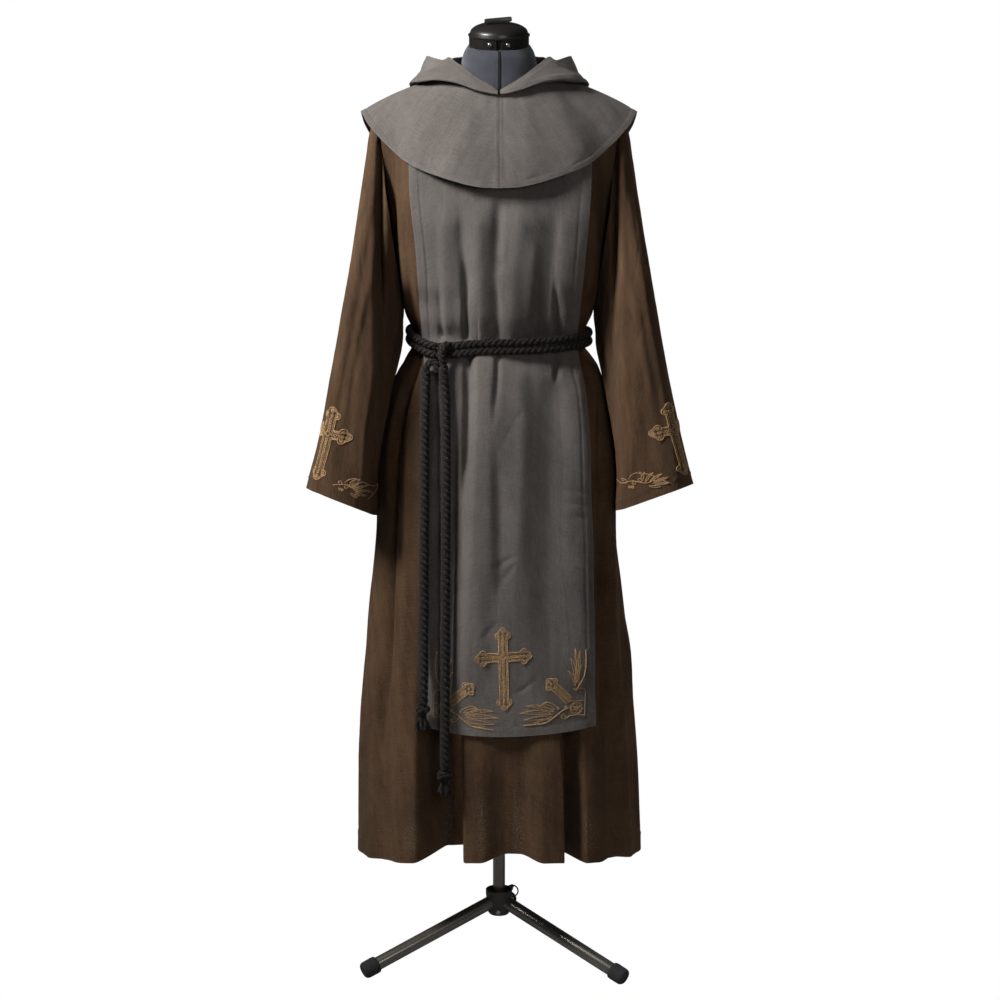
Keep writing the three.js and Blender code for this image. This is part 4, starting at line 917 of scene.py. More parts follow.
# relief of the scapular, which the tunic under it follows
scapularFrontEdges = np.array([  # z, left edge, right edge
    (1560, -149, 157), (1398, -149, 153), (1290, -139, 145), (1180, -131, 134), (1130, -127, 130),
    (1045, -124, 146), (950, -122, 153), (650, -121, 161), (459, -121, 166)])
scapularBackEdges = np.array([
    (1560, -157, 157), (1398, -152, 154), (1130, -126, 130), (1045, -136, 138), (650, -148, 150),
    (459, -152, 156)])
scapularLook = {"rows": 219, "yokeRows": 46, "cols": 121, "hemZ": 459, "hemLift": 14, "hemLiftFrom": 700,
                "band": 17, "depth": 1.75, "floor": -9.5}
scapularGathers = (-104, -76, -45, -18, 14, 40, 71, 101)  # x behind, where creases leave the belt
scapularFrontCreases = [  # height, widths to its left and right, marks (x, z), ends
    (2.2, (12, 12), [(-88, 1390), (-90, 1150)], (0.2, 0.1)),
    (-3.0, (9, 12), [(-66, 1392), (-60, 1282), (-56, 1200)], (0.3, 0.2)),
    (-6.5, (5, 7), [(-60, 1300), (-57, 1230), (-56, 1142)], (0.5, 0)),
    (-3.0, (5, 6), [(-101, 1260), (-99, 1200), (-96, 1145)], (0.5, 0)),
    (3.0, (13, 13), [(-34, 1390), (-35, 1142)], (0.2, 0)),
    (-3.8, (10, 9), [(2, 1400), (-4, 1315), (-8, 1214)], (0.2, 0.4)),
    (-4.0, (11, 6), [(-8, 1270), (-3, 1210), (-2, 1146)], (0.5, 0)),
    (3.0, (15, 22), [(38, 1383), (28, 1265), (20, 1142)], (0.2, 0)),
    (-3.4, (26, 12), [(97, 1383), (93, 1335), (86, 1262), (76, 1195), (68, 1145)], (0.2, 0)),
    (2.0, (12, 9), [(60, 1333), (50, 1145)], (0.3, 0)),
    (-7.0, (4, 5), [(94, 1262), (96, 1210), (98, 1142)], (0.6, 0)),
    (2.0, (6, 8), [(110, 1240), (112, 1145)], (0.5, 0)),
    (-2.2, (4, 4), [(27, 1290), (-10, 1262)], (0.4, 0.4)),
    (-4.5, (7, 9), [(-105, 1110), (-103, 1000), (-99, 760), (-99, 480)], (0, 0.2)),
    (-8.5, (6, 9), [(-55, 1116), (-54, 1040), (-56, 960), (-62, 860)], (0, 0.4)),
    (-6.5, (6, 6), [(-72, 1020), (-77, 900), (-80, 760), (-84, 480)], (0.3, 0.2)),
    (7.0, (14, 58), [(-33, 1110), (-35, 938), (-46, 765), (-52, 480)], (0, 0.2)),
    (-3.8, (5, 6), [(-2, 1121), (-3, 1090), (-6, 1050), (-10, 990)], (0, 0.6)),
    (-3.5, (9, 16), [(-4, 1010), (-3, 900), (0, 760), (4, 600)], (0.3, 0.4)),
    (2.2, (12, 16), [(30, 1112), (38, 1000), (36, 853), (30, 658)], (0.1, 0.4)),
    (-8.0, (4, 5), [(99, 1121), (98, 1098), (95, 1060)], (0, 0.6)),
    (-4.2, (32, 24), [(92, 1095), (90, 990), (86, 835), (82, 623), (82, 480)], (0.1, 0.3)),
    (-2.4, (16, 14), [(-15, 765), (-12, 515)], (0.3, 0.3)),
    (3.6, (34, 12), [(128, 1100), (144, 960), (152, 515)], (0.1, 0.1)),
    (-0.8, (4, 5), [(97, 886), (158, 874)], (0.3, 0.3)),
    (-0.7, (4, 5), [(104, 862), (159, 853)], (0.3, 0.3)),
    (-0.6, (4, 4), [(110, 838), (158, 832)], (0.3, 0.3)),
    (-0.8, (4, 5), [(21, 1003), (42, 1024)], (0.3, 0.3)),
    (-0.7, (3, 4), [(8, 968), (24, 1000)], (0.3, 0.3)),
    (-1.4, (3.5, 5), [(-19, 747), (36, 776)], (0.3, 0.3)),
    (-1.2, (3.5, 5), [(2, 725), (31, 765)], (0.3, 0.3)),
    (-1.2, (3, 4), [(-36, 623), (-3, 662)], (0.3, 0.3)),
    (-1.2, (3, 4), [(19, 527), (71, 560)], (0.3, 0.3)),
]


def scapularRelief(side, x, z, away):
    seed = 160 if side > 0 else 180
    relief = clothNoise(x, z, seed, [(1.5, 90, 230), (0.9, 38, 110), (0.42, 17, 48), (0.12, 7, 12)])
    if side > 0:
        relief = relief + scapularLook["depth"] * creaseSum(x, z, scapularFrontCreases)
    else:
        chance = np.random.default_rng(seed)
        for k, at in enumerate(scapularGathers):
            high = (-1)**k * chance.uniform(1.6, 4.0)
            fall, wide = chance.uniform(150, 480), chance.uniform(6, 13)
            drift = chance.uniform(-10, 10)
            low, top = belowBelt - fall, aboveBelt + 0.5 * fall
            marks = [(at, belowBelt), (at * 1.06 + drift * 0.3, 1050), (at * 1.12 + drift, low)]
            relief = relief + crease(x, z, high, (wide, wide * 1.3), marks, (0, 0.5))
            marks = [(at, aboveBelt), (at * 1.02 - drift * 0.4, 1200), (at * 1.1 - drift, top)]
            relief = relief + crease(x, z, 0.7 * high, (wide * 0.8, wide), marks, (0, 0.6))
    belt = ridge(z - beltLook["z"], 12)
    relief = relief * (1 - 0.75 * belt) + belt
    floor, band = scapularLook["floor"], scapularLook["band"]
    relief = np.maximum(relief, floor + 0.3 * np.minimum(relief - floor, 0))
    # the turned edge and the groove of its stitches
    return relief + np.where(away < band, 0.45, 0) - 1.2 * ridge(away - band, 2.0)


def underScapular(side, x, z):
    # how proud the tunic may stand where the scapular lies over it
    edges = scapularFrontEdges if side > 0 else scapularBackEdges
    left, right = along(edges[:, 0], edges[:, 1], z), along(edges[:, 0], edges[:, 2], z)
    inside, hemZ = np.minimum(x - left, right - x), scapularLook["hemZ"]
    allowed = scapularRelief(side, x, z, inside * 0 + 99) + layerStep - clothWall - 0.5
    return allowed + 40 * smooth(-3, -16, inside) + 40 * smooth(hemZ - 6, hemZ - 25, z)


# tunic
tunicLook = {"rows": 193, "yokeRows": 40, "cols": 241, "hemBand": 30, "beltGathers": 2.6, "depth": 1.3}
tunicFrontCreases = [  # height, widths to its left and right, marks (x, z), shares over which its ends fade
    (-8, (2.6, 4), [(-135, 1121), (-142, 1092), (-149, 1066), (-158, 1030)], (0, 0.5)),
    (-13, (5, 7), [(-149, 1080), (-161, 1035), (-174, 985), (-184, 920)], (0.3, 0.4)),
    (-19, (9, 11), [(-172, 1000), (-185, 920), (-191, 850), (-199, 700), (-209, 520), (-218, 360)],
     (0.25, 0.45)),
    (4, (8, 9), [(-146, 1100), (-155, 1000), (-160, 800), (-168, 560), (-176, 380)], (0.1, 0.4)),
    (3, (7, 6), [(-150, 1100), (-172, 1040), (-190, 960), (-200, 800)], (0.2, 0.5)),
    (-5, (6, 8), [(-203, 960), (-212, 760), (-222, 480)], (0.3, 0.4)),
    (4.5, (8, 7), [(194, 1010), (196, 800), (199, 560), (205, 380)], (0.2, 0.4)),
    (-12, (7, 8), [(172, 1075), (178, 1000), (181, 900), (184, 700), (190, 480)], (0.3, 0.4)),
    (-4.5, (8, 10), [(210, 960), (218, 720), (224, 480)], (0.2, 0.4)),
    (3.5, (7, 7), [(222, 880), (228, 620), (234, 420)], (0.3, 0.4)),
    (-5, (4, 7), [(142, 1116), (152, 1080), (166, 1030)], (0, 0.5)),
    (-4, (4, 7), [(143, 1146), (147, 1185), (150, 1240)], (0, 0.5)),
    (-5, (4, 6), [(-126, 1142), (-131, 1170), (-139, 1235)], (0, 0.6)),
    (-4, (6, 8), [(-146, 1150), (-152, 1200), (-158, 1290)], (0, 0.5)),
]
tunicHollow = {  # beside each armhole the chest drops back into the dark: x from and to, and depth by height
    "from": 163, "to": 177, "z": (1500, 1460, 1400, 1340, 1260, 1200, 1150),
    "depth": (0, 12, 30, 38, 32, 14, 0)}
rubbedPatches = [  # x, bottom, top and half width of pale rubbed patches above the front hem
    (-153, 250, 300, 13), (-88, 250, 320, 14), (-28, 240, 345, 10), (34, 245, 335, 10), (158, 250, 315, 14)]


def tunicRelief(side, across, x, z):
    seed = 60 if side > 0 else 80
    u = x * 1.25
    edge = 1 - smooth(0.955, 1.0, np.abs(across))
    relief = clothNoise(u, z, seed, [(1.9, 95, 260), (1.3, 38, 150), (0.5, 17, 60), (0.14, 7, 12)])
    relief = relief * (1 - 0.5 * ridge(z - waistZ, 40))
    near = np.exp(-np.abs(z - waistZ) / 70)
    pinch = smooth(3, 22, np.abs(z - waistZ))
    relief = relief + tunicLook["beltGathers"] * near * pinch * softNoise(u / 19, z / 150, seed + 9)
    if side > 0:
        relief = relief + tunicLook["depth"] * creaseSum(x, z, tunicFrontCreases)
    else:
        chance = np.random.default_rng(seed)
        for place in np.arange(-165, 170, 27.0):
            at, fall = place + chance.uniform(-7, 7), chance.uniform(120, 420)
            high = chance.choice((-1, 1)) * chance.uniform(2.0, 4.5)
            marks = [(at * 0.93, 1114), (at, 1080), (at * 1.07, 1114 - fall)]
            relief = relief + crease(x, z, high, (7, 8), marks, (0, 0.6))
            marks = [(at * 0.95, 1150), (at, 1190), (at * 1.03, 1150 + fall * 0.6)]
            relief = relief + crease(x, z, 0.6 * high, (6, 7), marks, (0, 0.7))
    return np.minimum(relief * edge, underScapular(side, x, z))


def tunicPanel(side):
    name = "tunic.front" if side > 0 else "tunic.back"
    folds = frontFolds if side > 0 else backFolds
    yoke = np.linspace(0, 1, tunicLook["yokeRows"], endpoint=False)
    skirt = np.linspace(1, 2, tunicLook["rows"] - tunicLook["yokeRows"])
    down = np.concatenate([[-0.02], yoke, skirt, [2.006]])[:, None]
    even = np.linspace(-1, 1, tunicLook["cols"] - 2)
    across = np.concatenate([[even[0] - 0.008], even, [even[-1] + 0.008]])[None]
    base = bodyPoint(side, across, down)
    x, z = base[..., 0], base[..., 2]
    deep, lifted = foldSums(folds, across, z)
    relief = tunicRelief(side, across, x, z) - deep
    hemAway = (2 - down) * (armpitZ - hem["z"])
    band = tunicLook["hemBand"]
    relief = relief + np.where(hemAway < band, 0.5, 0) - 0.8 * ridge(hemAway - band, 1.6)
    pucker = 0.5 * softNoise(across * 70, z * 0 + 2.5, 91) * ridge(hemAway - band, 9)
    grid = base + bodyNormal(side, across, down) * (relief + pucker)[..., None]
    if side > 0:
        hollow = tunicHollow
        inside = smooth(hollow["from"], hollow["to"], np.abs(x))
        grid[..., 1] += along(hollow["z"], hollow["depth"], z) * inside
    grid[..., 2] += lifted + 1.6 * softNoise(across * 5, z * 0 + 1.5, 92) * smooth(1.9, 2, down)
    place = stack(*runsOf(grid), np.abs(hemAway))
    if side < 0:
        grid, place = grid[:, ::-1], place[:, ::-1]
    piece, ground = makeCloth(name, grid, brownLinen, name.replace(".", "_"), place,
                              trim=(1, 1, 1, 1))
    marks = piece.data.attributes.new("marks", "FLOAT", "POINT")
    co = np.empty(len(piece.data.vertices) * 3, np.float32)
    piece.data.vertices.foreach_get("co", co)
    co = co.reshape(-1, 3) * 1000 - (0, poleY, 0)
    spots = np.zeros(len(co))
    for at, low, high, wide in rubbedPatches if side > 0 else []:
        inX = ridge(co[:, 0] - at, wide, 4)
        inZ = np.exp(-((co[:, 2] - (low + high) / 2) / (high - low) * 1.7)**4)
        spots = np.maximum(spots, inX * inZ)
    marks.data.foreach_set("value", spots.astype(np.float32))
    return piece, ground


tunicFront, tunicFrontGround = tunicPanel(1)
tunicBack, tunicBackGround = tunicPanel(-1)
print("tunic made")


# sleeves
sleeveRings = np.array([  # outer x and z, inner x and z, half depth, how far forward, rise of the front
    (208.6, 1512, 166.6, 1185, 70, 0, 0), (222, 1489, 168, 1156, 74, 3, 1),
    (230.5, 1432, 170.5, 1122, 77, 11, 4), (240, 1364, 178.5, 1087, 79, 24, 8),
    (252.5, 1286, 188, 1049, 81, 40, 11), (265.5, 1206, 195, 1012, 82, 54, 13),
    (281, 1121, 203.5, 970, 84, 60, 14), (297, 1033, 211, 927, 86, 63, 15),
    (315.5, 946, 216, 879, 89, 65, 16), (333.5, 877, 217, 829, 93, 66, 17)])
sleeveCuts = {  # how far each cuff differs from the table, its creases, and the cloth's own noise
    "left": {"side": -1, "outer": 0, "inner": 3, "lift": 1, "valley": 3,
             "creaseHigh": 1.0, "creaseShift": 0, "seed": 110},
    "right": {"side": 1, "outer": 4, "inner": 12, "lift": 9, "valley": -1,
              "creaseHigh": 0.9, "creaseShift": 4, "seed": 130},
}
sleeveFolds = [  # degrees round from the outer line (positive to the front), spread, depth, start and end
    (68, 15, 4, 0.05, 0.9), (122, 22, 12, 0.1, 0.75), (-75, 18, 12, 0.08, 0.85), (-135, 20, 9, 0.2, 0.8)]
sleeveInnerFold = {  # the deep fold beside the body: its line, then by height how deep and how open it is
    "x": 204, "z": (1512, 1440, 1350, 1250, 1150, 1080, 900, 820), "depth": (8, 22, 26, 30, 32, 32, 24, 14),
    "open": (0, 0, 0.05, 0.3, 0.75, 1, 1, 1), "wide": 5.5}
sleeveLook = {"rows": 191, "cols": 128, "cuffBand": 22, "long": 700, "perDegree": 1.75, "round": 630}
sleeveCreases = [  # height, widths, marks (degrees round, share down), ends
    (1.0, (9, 12), [(38, 0.12), (44, 0.4), (40, 0.8)], (0.3, 0.4)),
    (-1.0, (9, 12), [(20, 0.02), (24, 0.3), (30, 0.62)], (0.2, 0.5)),
    (-2.0, (5, 8), [(-12, 0.1), (-6, 0.35), (-16, 0.7)], (0.2, 0.4)),
    (3.2, (8, 6), [(88, 0.3), (84, 0.62), (92, 0.92)], (0.3, 0.3)),
    (-3.0, (8, 8), [(105, 0.45), (108, 0.75), (120, 0.95)], (0.3, 0.3)),
    (-2.2, (6, 7), [(-44, 0.05), (-40, 0.5), (-52, 0.85)], (0.2, 0.4)),
    (2.6, (7, 8), [(-98, 0.2), (-104, 0.6), (-96, 0.95)], (0.3, 0.3)),
    (-2.4, (8, 7), [(158, 0.35), (164, 0.65), (156, 0.9)], (0.3, 0.3)),
]
sleeveWrinkles = {  # short wrinkles across the elbow: degrees round, share down and height of each
    "rows": ((60, 0.40, 3.0), (35, 0.47, -2.5), (75, 0.54, 2.2), (120, 0.5, -2.4), (-60, 0.45, 2.6)),
    "turn": 26, "drop": 0.02, "depth": 0.45}


def sleevePoint(cut, s, angle):
    # angle is measured round from the outer line, positive to the front
    keys = np.linspace(0, 1, len(sleeveRings))
    outX, outZ, inX, inZ, deep, forward, rise = (along(keys, column, s) for column in sleeveRings.T)
    grown = s**2
    outer = stack(outX + cut["outer"] * grown, -forward, outZ + cut["lift"] * grown)
    inner = stack(inX - cut["inner"] * grown, -forward, inZ + cut["lift"] * grown)
    half = (outer - inner) / 2
    shrink = 0
    for turn, spread, depth, start, end in sleeveFolds:
        off = np.abs(angle - math.radians(turn)) % (2 * pi)
        near = np.maximum(0, 1 - np.minimum(off, 2 * pi - off) / math.radians(spread))
        near = near * near * (3 - 2 * near)
        starting, going = smooth(start, start + 0.2, s), 1 - smooth(end - 0.2, end + 0.1, s)
        shrink = shrink + depth * near * starting * going
    c, d = np.cos(angle), np.sin(angle)
    power = 1 - 0.3 * smooth(0.1, 0.55, s)
    c, d = np.sign(c) * np.abs(c)**power, np.sign(d) * np.abs(d)**power
    wide = 1 - shrink * np.abs(c) / np.linalg.norm(half, axis=-1)
    p = inner + half + half * (c * wide)[..., None]
    p = p + stack(0, -(deep - shrink * np.abs(d)) * d, rise * d)
    x, z, fold = p[..., 0], p[..., 2], sleeveInnerFold
    line = fold["x"] + cut["valley"] + 4 * smooth(1100, 900, z)
    deepest, opened = along(fold["z"], fold["depth"], z), along(fold["z"], fold["open"], z)
    inside = mix(ridge(x - line + 4, fold["wide"]), smooth(line + 4, line - 8, x), opened)
    proud = 2.5 * ridge(x - line - 9, 6) * smooth(0.1, 0.6, d)
    p[..., 1] += deepest * inside * smooth(0.05, 0.6, d) - proud
    return p * (cut["side"], 1, 1)


def makeSleeve(side, cut):
    s = np.linspace(0, 1.004, sleeveLook["rows"] + 1)[:, None]
    turn, long, perDegree = circle(sleeveLook["cols"]), sleeveLook["long"], sleeveLook["perDegree"]
    angle = np.where(turn > pi, turn - 2 * pi, turn)[None] + 0 * s
    base = sleevePoint(cut, s + 0 * angle, angle)
    normals = gridNormals(base, True) * cut["side"]
    around = np.degrees(angle) * perDegree
    down = s * long + 0 * angle
    relief = 0
    for k, (high, wide, tall) in enumerate([(1.9, 60, 190), (1.0, 30, 90), (0.4, 15, 45), (0.12, 6, 12)]):
        # the noise meets itself at the end of each turn
        count = int(round(sleeveLook["round"] / wide))
        spin = turn[None] / (2 * pi) * count + 0 * s
        a, b = (softNoise(spin - back, down / tall, cut["seed"] + k) for back in (0, count))
        relief = relief + high * mix(a, b, smooth(0.8, 1.0, turn / (2 * pi))[None])
    for high, widths, marks, ends in sleeveCreases:
        line = [(a * perDegree + cut["creaseShift"], b * long) for a, b in marks]
        relief = relief + crease(around, down, high * cut["creaseHigh"], widths, line, ends)
    for degree, low, high in sleeveWrinkles["rows"]:
        reach, drop = sleeveWrinkles["turn"], sleeveWrinkles["drop"]
        line = [((degree + hand * reach) * perDegree, (low + hand * drop) * long) for hand in (-1, 1)]
        relief = relief + crease(around, down, sleeveWrinkles["depth"] * high, (9, 11), line, (0.4, 0.4))
    away = (1.0 - s) * long + 0 * angle
    band = sleeveLook["cuffBand"]
    relief = relief * smooth(0.0, 0.05, s) + np.where(away < band, 0.4, 0)
    relief = relief - 0.7 * ridge(away - band, 1.6)
    grid = base + normals * relief[..., None]
    if cut["side"] > 0:
        grid = grid[:, ::-1]
    place = stack(*runsOf(grid), np.abs(away))
    name = "sleeve." + side
    piece, ground = makeCloth(name, grid, brownLinen, "sleeve_" + side, place,
                              trim=(0, 1, 0, 0), closed=True)
    return ground


sleeveGrounds = {side: makeSleeve(side, cut) for side, cut in sleeveCuts.items()}
print("sleeves made")


# scapular
def scapularPanel(side):
    name = "scapular.front" if side > 0 else "scapular.back"
    edges = scapularFrontEdges if side > 0 else scapularBackEdges
    hemDown, yokeRows = downAt(scapularLook["hemZ"]), scapularLook["yokeRows"]
    down = np.concatenate([[-0.012], np.linspace(0, 1, yokeRows, endpoint=False),
                           np.linspace(1, hemDown, scapularLook["rows"] - yokeRows), [hemDown + 0.004]])
    rowZ = bodyPoint(side, 0.5, np.maximum(down, 0))[..., 2]
    left, right = along(edges[:, 0], edges[:, 1], rowZ), along(edges[:, 0], edges[:, 2], rowZ)
    acrossLeft, acrossRight = (np.abs(acrossAt(side, x, np.maximum(down, 0))) for x in (left, right))
    half = scapularLook["cols"] // 2
    share = np.arange(-half - 1, half + 2) / half
    size = np.abs(share)[None]
    edgeAcross = np.where(share[None] < 0, acrossLeft[:, None], acrossRight[:, None])
    # two thirds of the columns are as wide as the neck, and the rest reach from it to the edges
    inner = neckline["share"] * size * 1.5
    outer = neckline["share"] + (edgeAcross - neckline["share"]) * (size - 2 / 3) * 3
    across = np.sign(share)[None] * np.where(size < 2 / 3, inner, outer)
    base = bodyPoint(side, across, down[:, None])
    normals = bodyNormal(side, across, down[:, None])
    x, z = base[..., 0], base[..., 2]
    edgeX = np.where(share[None] < 0, left[:, None], right[:, None])
    grid = base + normals * layerStep
    rise = scapularLook["hemLift"] * smooth(downAt(scapularLook["hemLiftFrom"]), hemDown, down[:, None])
    grid[..., 2] += rise * (grid[..., 0] / edgeX)**2
    u, v = runsOf(grid)
    sideAway = np.minimum(u - u[:, 1:2], u[:, -2:-1] - u)
    hemAway = v[-2:-1] - v
    away = np.minimum(sideAway, hemAway)
    relief = scapularRelief(side, x, z, away)
    # the edges wave, and the cloth puckers beside their stitches
    relief = relief + 1.4 * smooth(60, 0, sideAway) * softNoise(z / 75, x * 0 + 3.3 * np.sign(x), 171)
    relief = relief + 1.2 * smooth(50, 0, hemAway) * softNoise(x / 60, z * 0 + 1.7, 172)
    band = scapularLook["band"]
    pucker = 0.8 * softNoise(z / 9, u / 30, 173) * ridge(sideAway - band, 8)
    pucker = pucker + 0.8 * softNoise(u / 9, z / 30, 174) * ridge(hemAway - band, 8)
    grid = grid + normals * (relief + pucker)[..., None]
    place = stack(u, v, np.maximum(away, 0))
    if side < 0:
        grid, place = grid[:, ::-1], place[:, ::-1]
    return makeCloth(name, grid, greyLinen, name.replace(".", "_"), place, trim=(1, 1, 1, 1))


scapularFront, scapularGround = scapularPanel(1)
scapularBack, scapularBackGround = scapularPanel(-1)
print("scapular made")


# cape
capeStations = np.array([  # turn from straight ahead, neck radius and z, hem x, y, z, and swell
    (0, 84, 1557, 0, -143, 1404, 5), (14, 85, 1559, 42, -141, 1407, 6), (30, 86, 1564, 96, -130, 1421, 9),
    (46, 88, 1572, 150, -102, 1441, 12), (62, 89, 1579, 191, -66, 1472, 12),
    (77, 90, 1583, 222, -36, 1503, 10), (90, 90, 1585, 237, -5, 1525, 6.5),
    (103, 88, 1586, 231, 34, 1498, 11), (118, 85, 1587, 206, 70, 1456, 15),
    (134, 81, 1588, 158, 104, 1412, 18), (150, 78, 1589, 100, 127, 1380, 18),
    (165, 76, 1590, 48, 135, 1364, 19), (180, 75, 1590, 0, 137, 1359, 19)])
capeLook = {"rows": 85, "long": 165.0, "perDegree": 3.2, "band": 10, "seamProud": 0.55, "seamWide": 4.6}
capeCreases = [  # height, widths in degrees, marks (turn, share down), ends; turns to the left are negative
    (1.8, (6, 8), [(-22, 0.15), (-25, 0.95)], (0.3, 0.1)),
    (-1.6, (5, 6), [(-38, 0.2), (-41, 0.95)], (0.3, 0.1)),
    (1.6, (5, 7), [(-52, 0.1), (-55, 0.9)], (0.3, 0.2)),
    (-1.5, (4, 5), [(-66, 0.1), (-70, 0.85)], (0.3, 0.2)),
    (1.6, (5, 5), [(17, 0.25), (19, 0.95)], (0.3, 0.1)),
    (-2.0, (5, 6), [(30, 0.1), (34, 0.95)], (0.3, 0.1)),
    (1.8, (6, 5), [(45, 0.15), (48, 0.95)], (0.3, 0.2)),
    (-1.8, (4, 6), [(58, 0.1), (63, 0.9)], (0.3, 0.2)),
    (1.3, (4, 4), [(74, 0.2), (77, 0.9)], (0.3, 0.2)),
    (2.4, (7, 8), [(112, 0.1), (116, 0.95)], (0.3, 0.1)),
    (-2.8, (7, 6), [(130, 0.15), (133, 0.98)], (0.3, 0.0)),
    (2.2, (6, 7), [(146, 0.2), (149, 0.98)], (0.3, 0.0)),
    (-2.2, (6, 6), [(168, 0.25), (166, 0.98)], (0.3, 0.0)),
    (2.2, (6, 6), [(190, 0.2), (188, 0.98)], (0.3, 0.0)),
    (-2.6, (6, 7), [(208, 0.15), (206, 0.98)], (0.3, 0.0)),
    (2.6, (7, 7), [(226, 0.1), (224, 0.95)], (0.3, 0.1)),
    (-2.2, (6, 7), [(246, 0.1), (243, 0.95)], (0.3, 0.1)),
]


def mirrored(turn):
    # turns past straight behind or before straight ahead come back along the other side
    hand = np.where((turn < 0) | (turn > 180), -1.0, 1.0)
    return np.where(turn < 0, -turn, np.where(turn > 180, 360 - turn, turn)), hand


def capePoint(turn, s):
    turn, hand = mirrored(turn)
    neckR, neckZ, hemX, hemY, hemZ, swell = (along(capeStations[:, 0], column, turn)
                                             for column in capeStations.T[1:])
    a = np.radians(turn)
    neck = stack(neckR * np.sin(a), -neckR * np.cos(a), neckZ)
    chord = stack(hemX, hemY, hemZ) - neck
    outward = stack(np.sin(a), -np.cos(a), 0)
    flat = np.hypot(chord[..., 0], chord[..., 1])
    up = unit(outward * -chord[..., 2:] + stack(0, 0, flat))
    p = neck + chord * s[..., None] + up * (4 * swell * s * (1 - s))[..., None]
    p[..., 0] *= hand
    return p


def makeCape(name, look):
    # a piece of the cape between two turns, one step past its seams on each side
    (first, last), count = look["turns"], look["count"]
    step = (last - first) / (count - 1)
    turn = np.concatenate([[first - step], np.linspace(first, last, count), [last + step]])[None]
    s = np.concatenate([[-0.01], np.linspace(0, 1, capeLook["rows"]), [1.01]])[:, None]
    turn, s = turn + 0 * s, s + 0 * turn
    base = capePoint(turn, s)
    normals = gridNormals(base)
    perDegree = capeLook["perDegree"]
    arc, fall = turn * perDegree, s * capeLook["long"]
    relief = clothNoise(arc, fall, look["seed"], [(1.0, 70, 90), (0.6, 30, 45), (0.3, 15, 20), (0.1, 7, 8)])
    for high, widths, marks, ends in capeCreases:
        line = [(t * perDegree, q * capeLook["long"]) for t, q in marks]
        relief = relief + crease(arc, fall, high, [wide * perDegree for wide in widths], line, ends)
    seamTurns = np.minimum(turn - first, last - turn)
    relief = relief * mix(0.1, 1.0, smooth(0, 9, seamTurns))
    fromSeam = seamTurns * mix(1.45, 2.5, s)  # millimetres to a degree at the neck and at the hem
    seamWide = capeLook["seamWide"]
    relief = relief + capeLook["seamProud"] * smooth(seamWide + 0.8, seamWide, fromSeam)
    grid = base + normals * relief[..., None]
    u, v = runsOf(grid)
    away = v[-2:-1] - v
    band = capeLook["band"]
    extra = np.where(away < band, 0.5, 0) - 0.7 * ridge(away - band, 1.5)
    extra = extra + 0.35 * softNoise(arc / 8, s * 0 + 0.5, 205) * ridge(away - band, 7)
    wave = 1.6 * softNoise(arc / 45, s * 0 + 4.5, 206) * smooth(0.75, 1, s)
    grid = grid + normals * (extra + wave)[..., None]
    return makeCloth(name, grid, greyLinen, name.replace(".", "_"),
                     stack(u, v, np.maximum(away, 0)), trim=(1, 1, 1, 1))


capePieces = {
    "front_left": {"turns": (-89.8, -0.2), "count": 93, "seed": 210},
    "front_right": {"turns": (0.2, 89.8), "count": 93, "seed": 220},
    "back": {"turns": (90.2, 269.8), "count": 185, "seed": 230},
}
capeGrounds = {}
for side, look in capePieces.items():
    piece, capeGrounds[side] = makeCape("cape." + side, look)
    side == "back"
print("cape made")


# hood
hoodStations = np.array([  # turn, then radius and z at the seam, roll, lap, low, out and edge
    (1.5, 87, 1558, 88.5, 1557.5, 90, 1557.5, 91.5, 1558, 92, 1560, 82, 1564),
    (8, 87, 1560, 88.5, 1559, 90, 1559, 92, 1559.5, 93, 1562, 82, 1570),
    (24, 88, 1567, 89.5, 1565.5, 91, 1565, 94, 1565, 96, 1568, 80, 1583),
    (46, 90, 1578, 90, 1580, 93, 1579, 98, 1577, 103, 1580, 79, 1599),
    (63, 90, 1586, 88, 1592, 93, 1590, 106, 1583, 119, 1583, 82, 1611),
    (77, 90, 1590, 87, 1601, 94, 1598, 118, 1582, 140, 1580, 88, 1619),
    (92, 89, 1592, 86, 1610, 95, 1603, 126, 1582, 153, 1575, 97, 1613),
    (108, 87, 1593, 84, 1614, 95, 1605, 132, 1574, 160, 1563, 128, 1619),
    (125, 84, 1594, 81, 1616, 93, 1606, 138, 1555, 172, 1532, 150, 1613),
    (142, 80, 1595, 77, 1616, 90, 1606, 152, 1500, 184, 1462, 168, 1602),
    (160, 78, 1595, 75, 1616, 91, 1605, 162, 1418, 188, 1365, 181, 1588),
    (180, 77, 1595, 74, 1616, 91, 1605, 165, 1390, 190, 1325, 187, 1580)])
hoodLook = {"first": 1.5, "turns": 141, "steps": 111, "band": 9, "perDegree": 2.3, "creaseLong": 200}
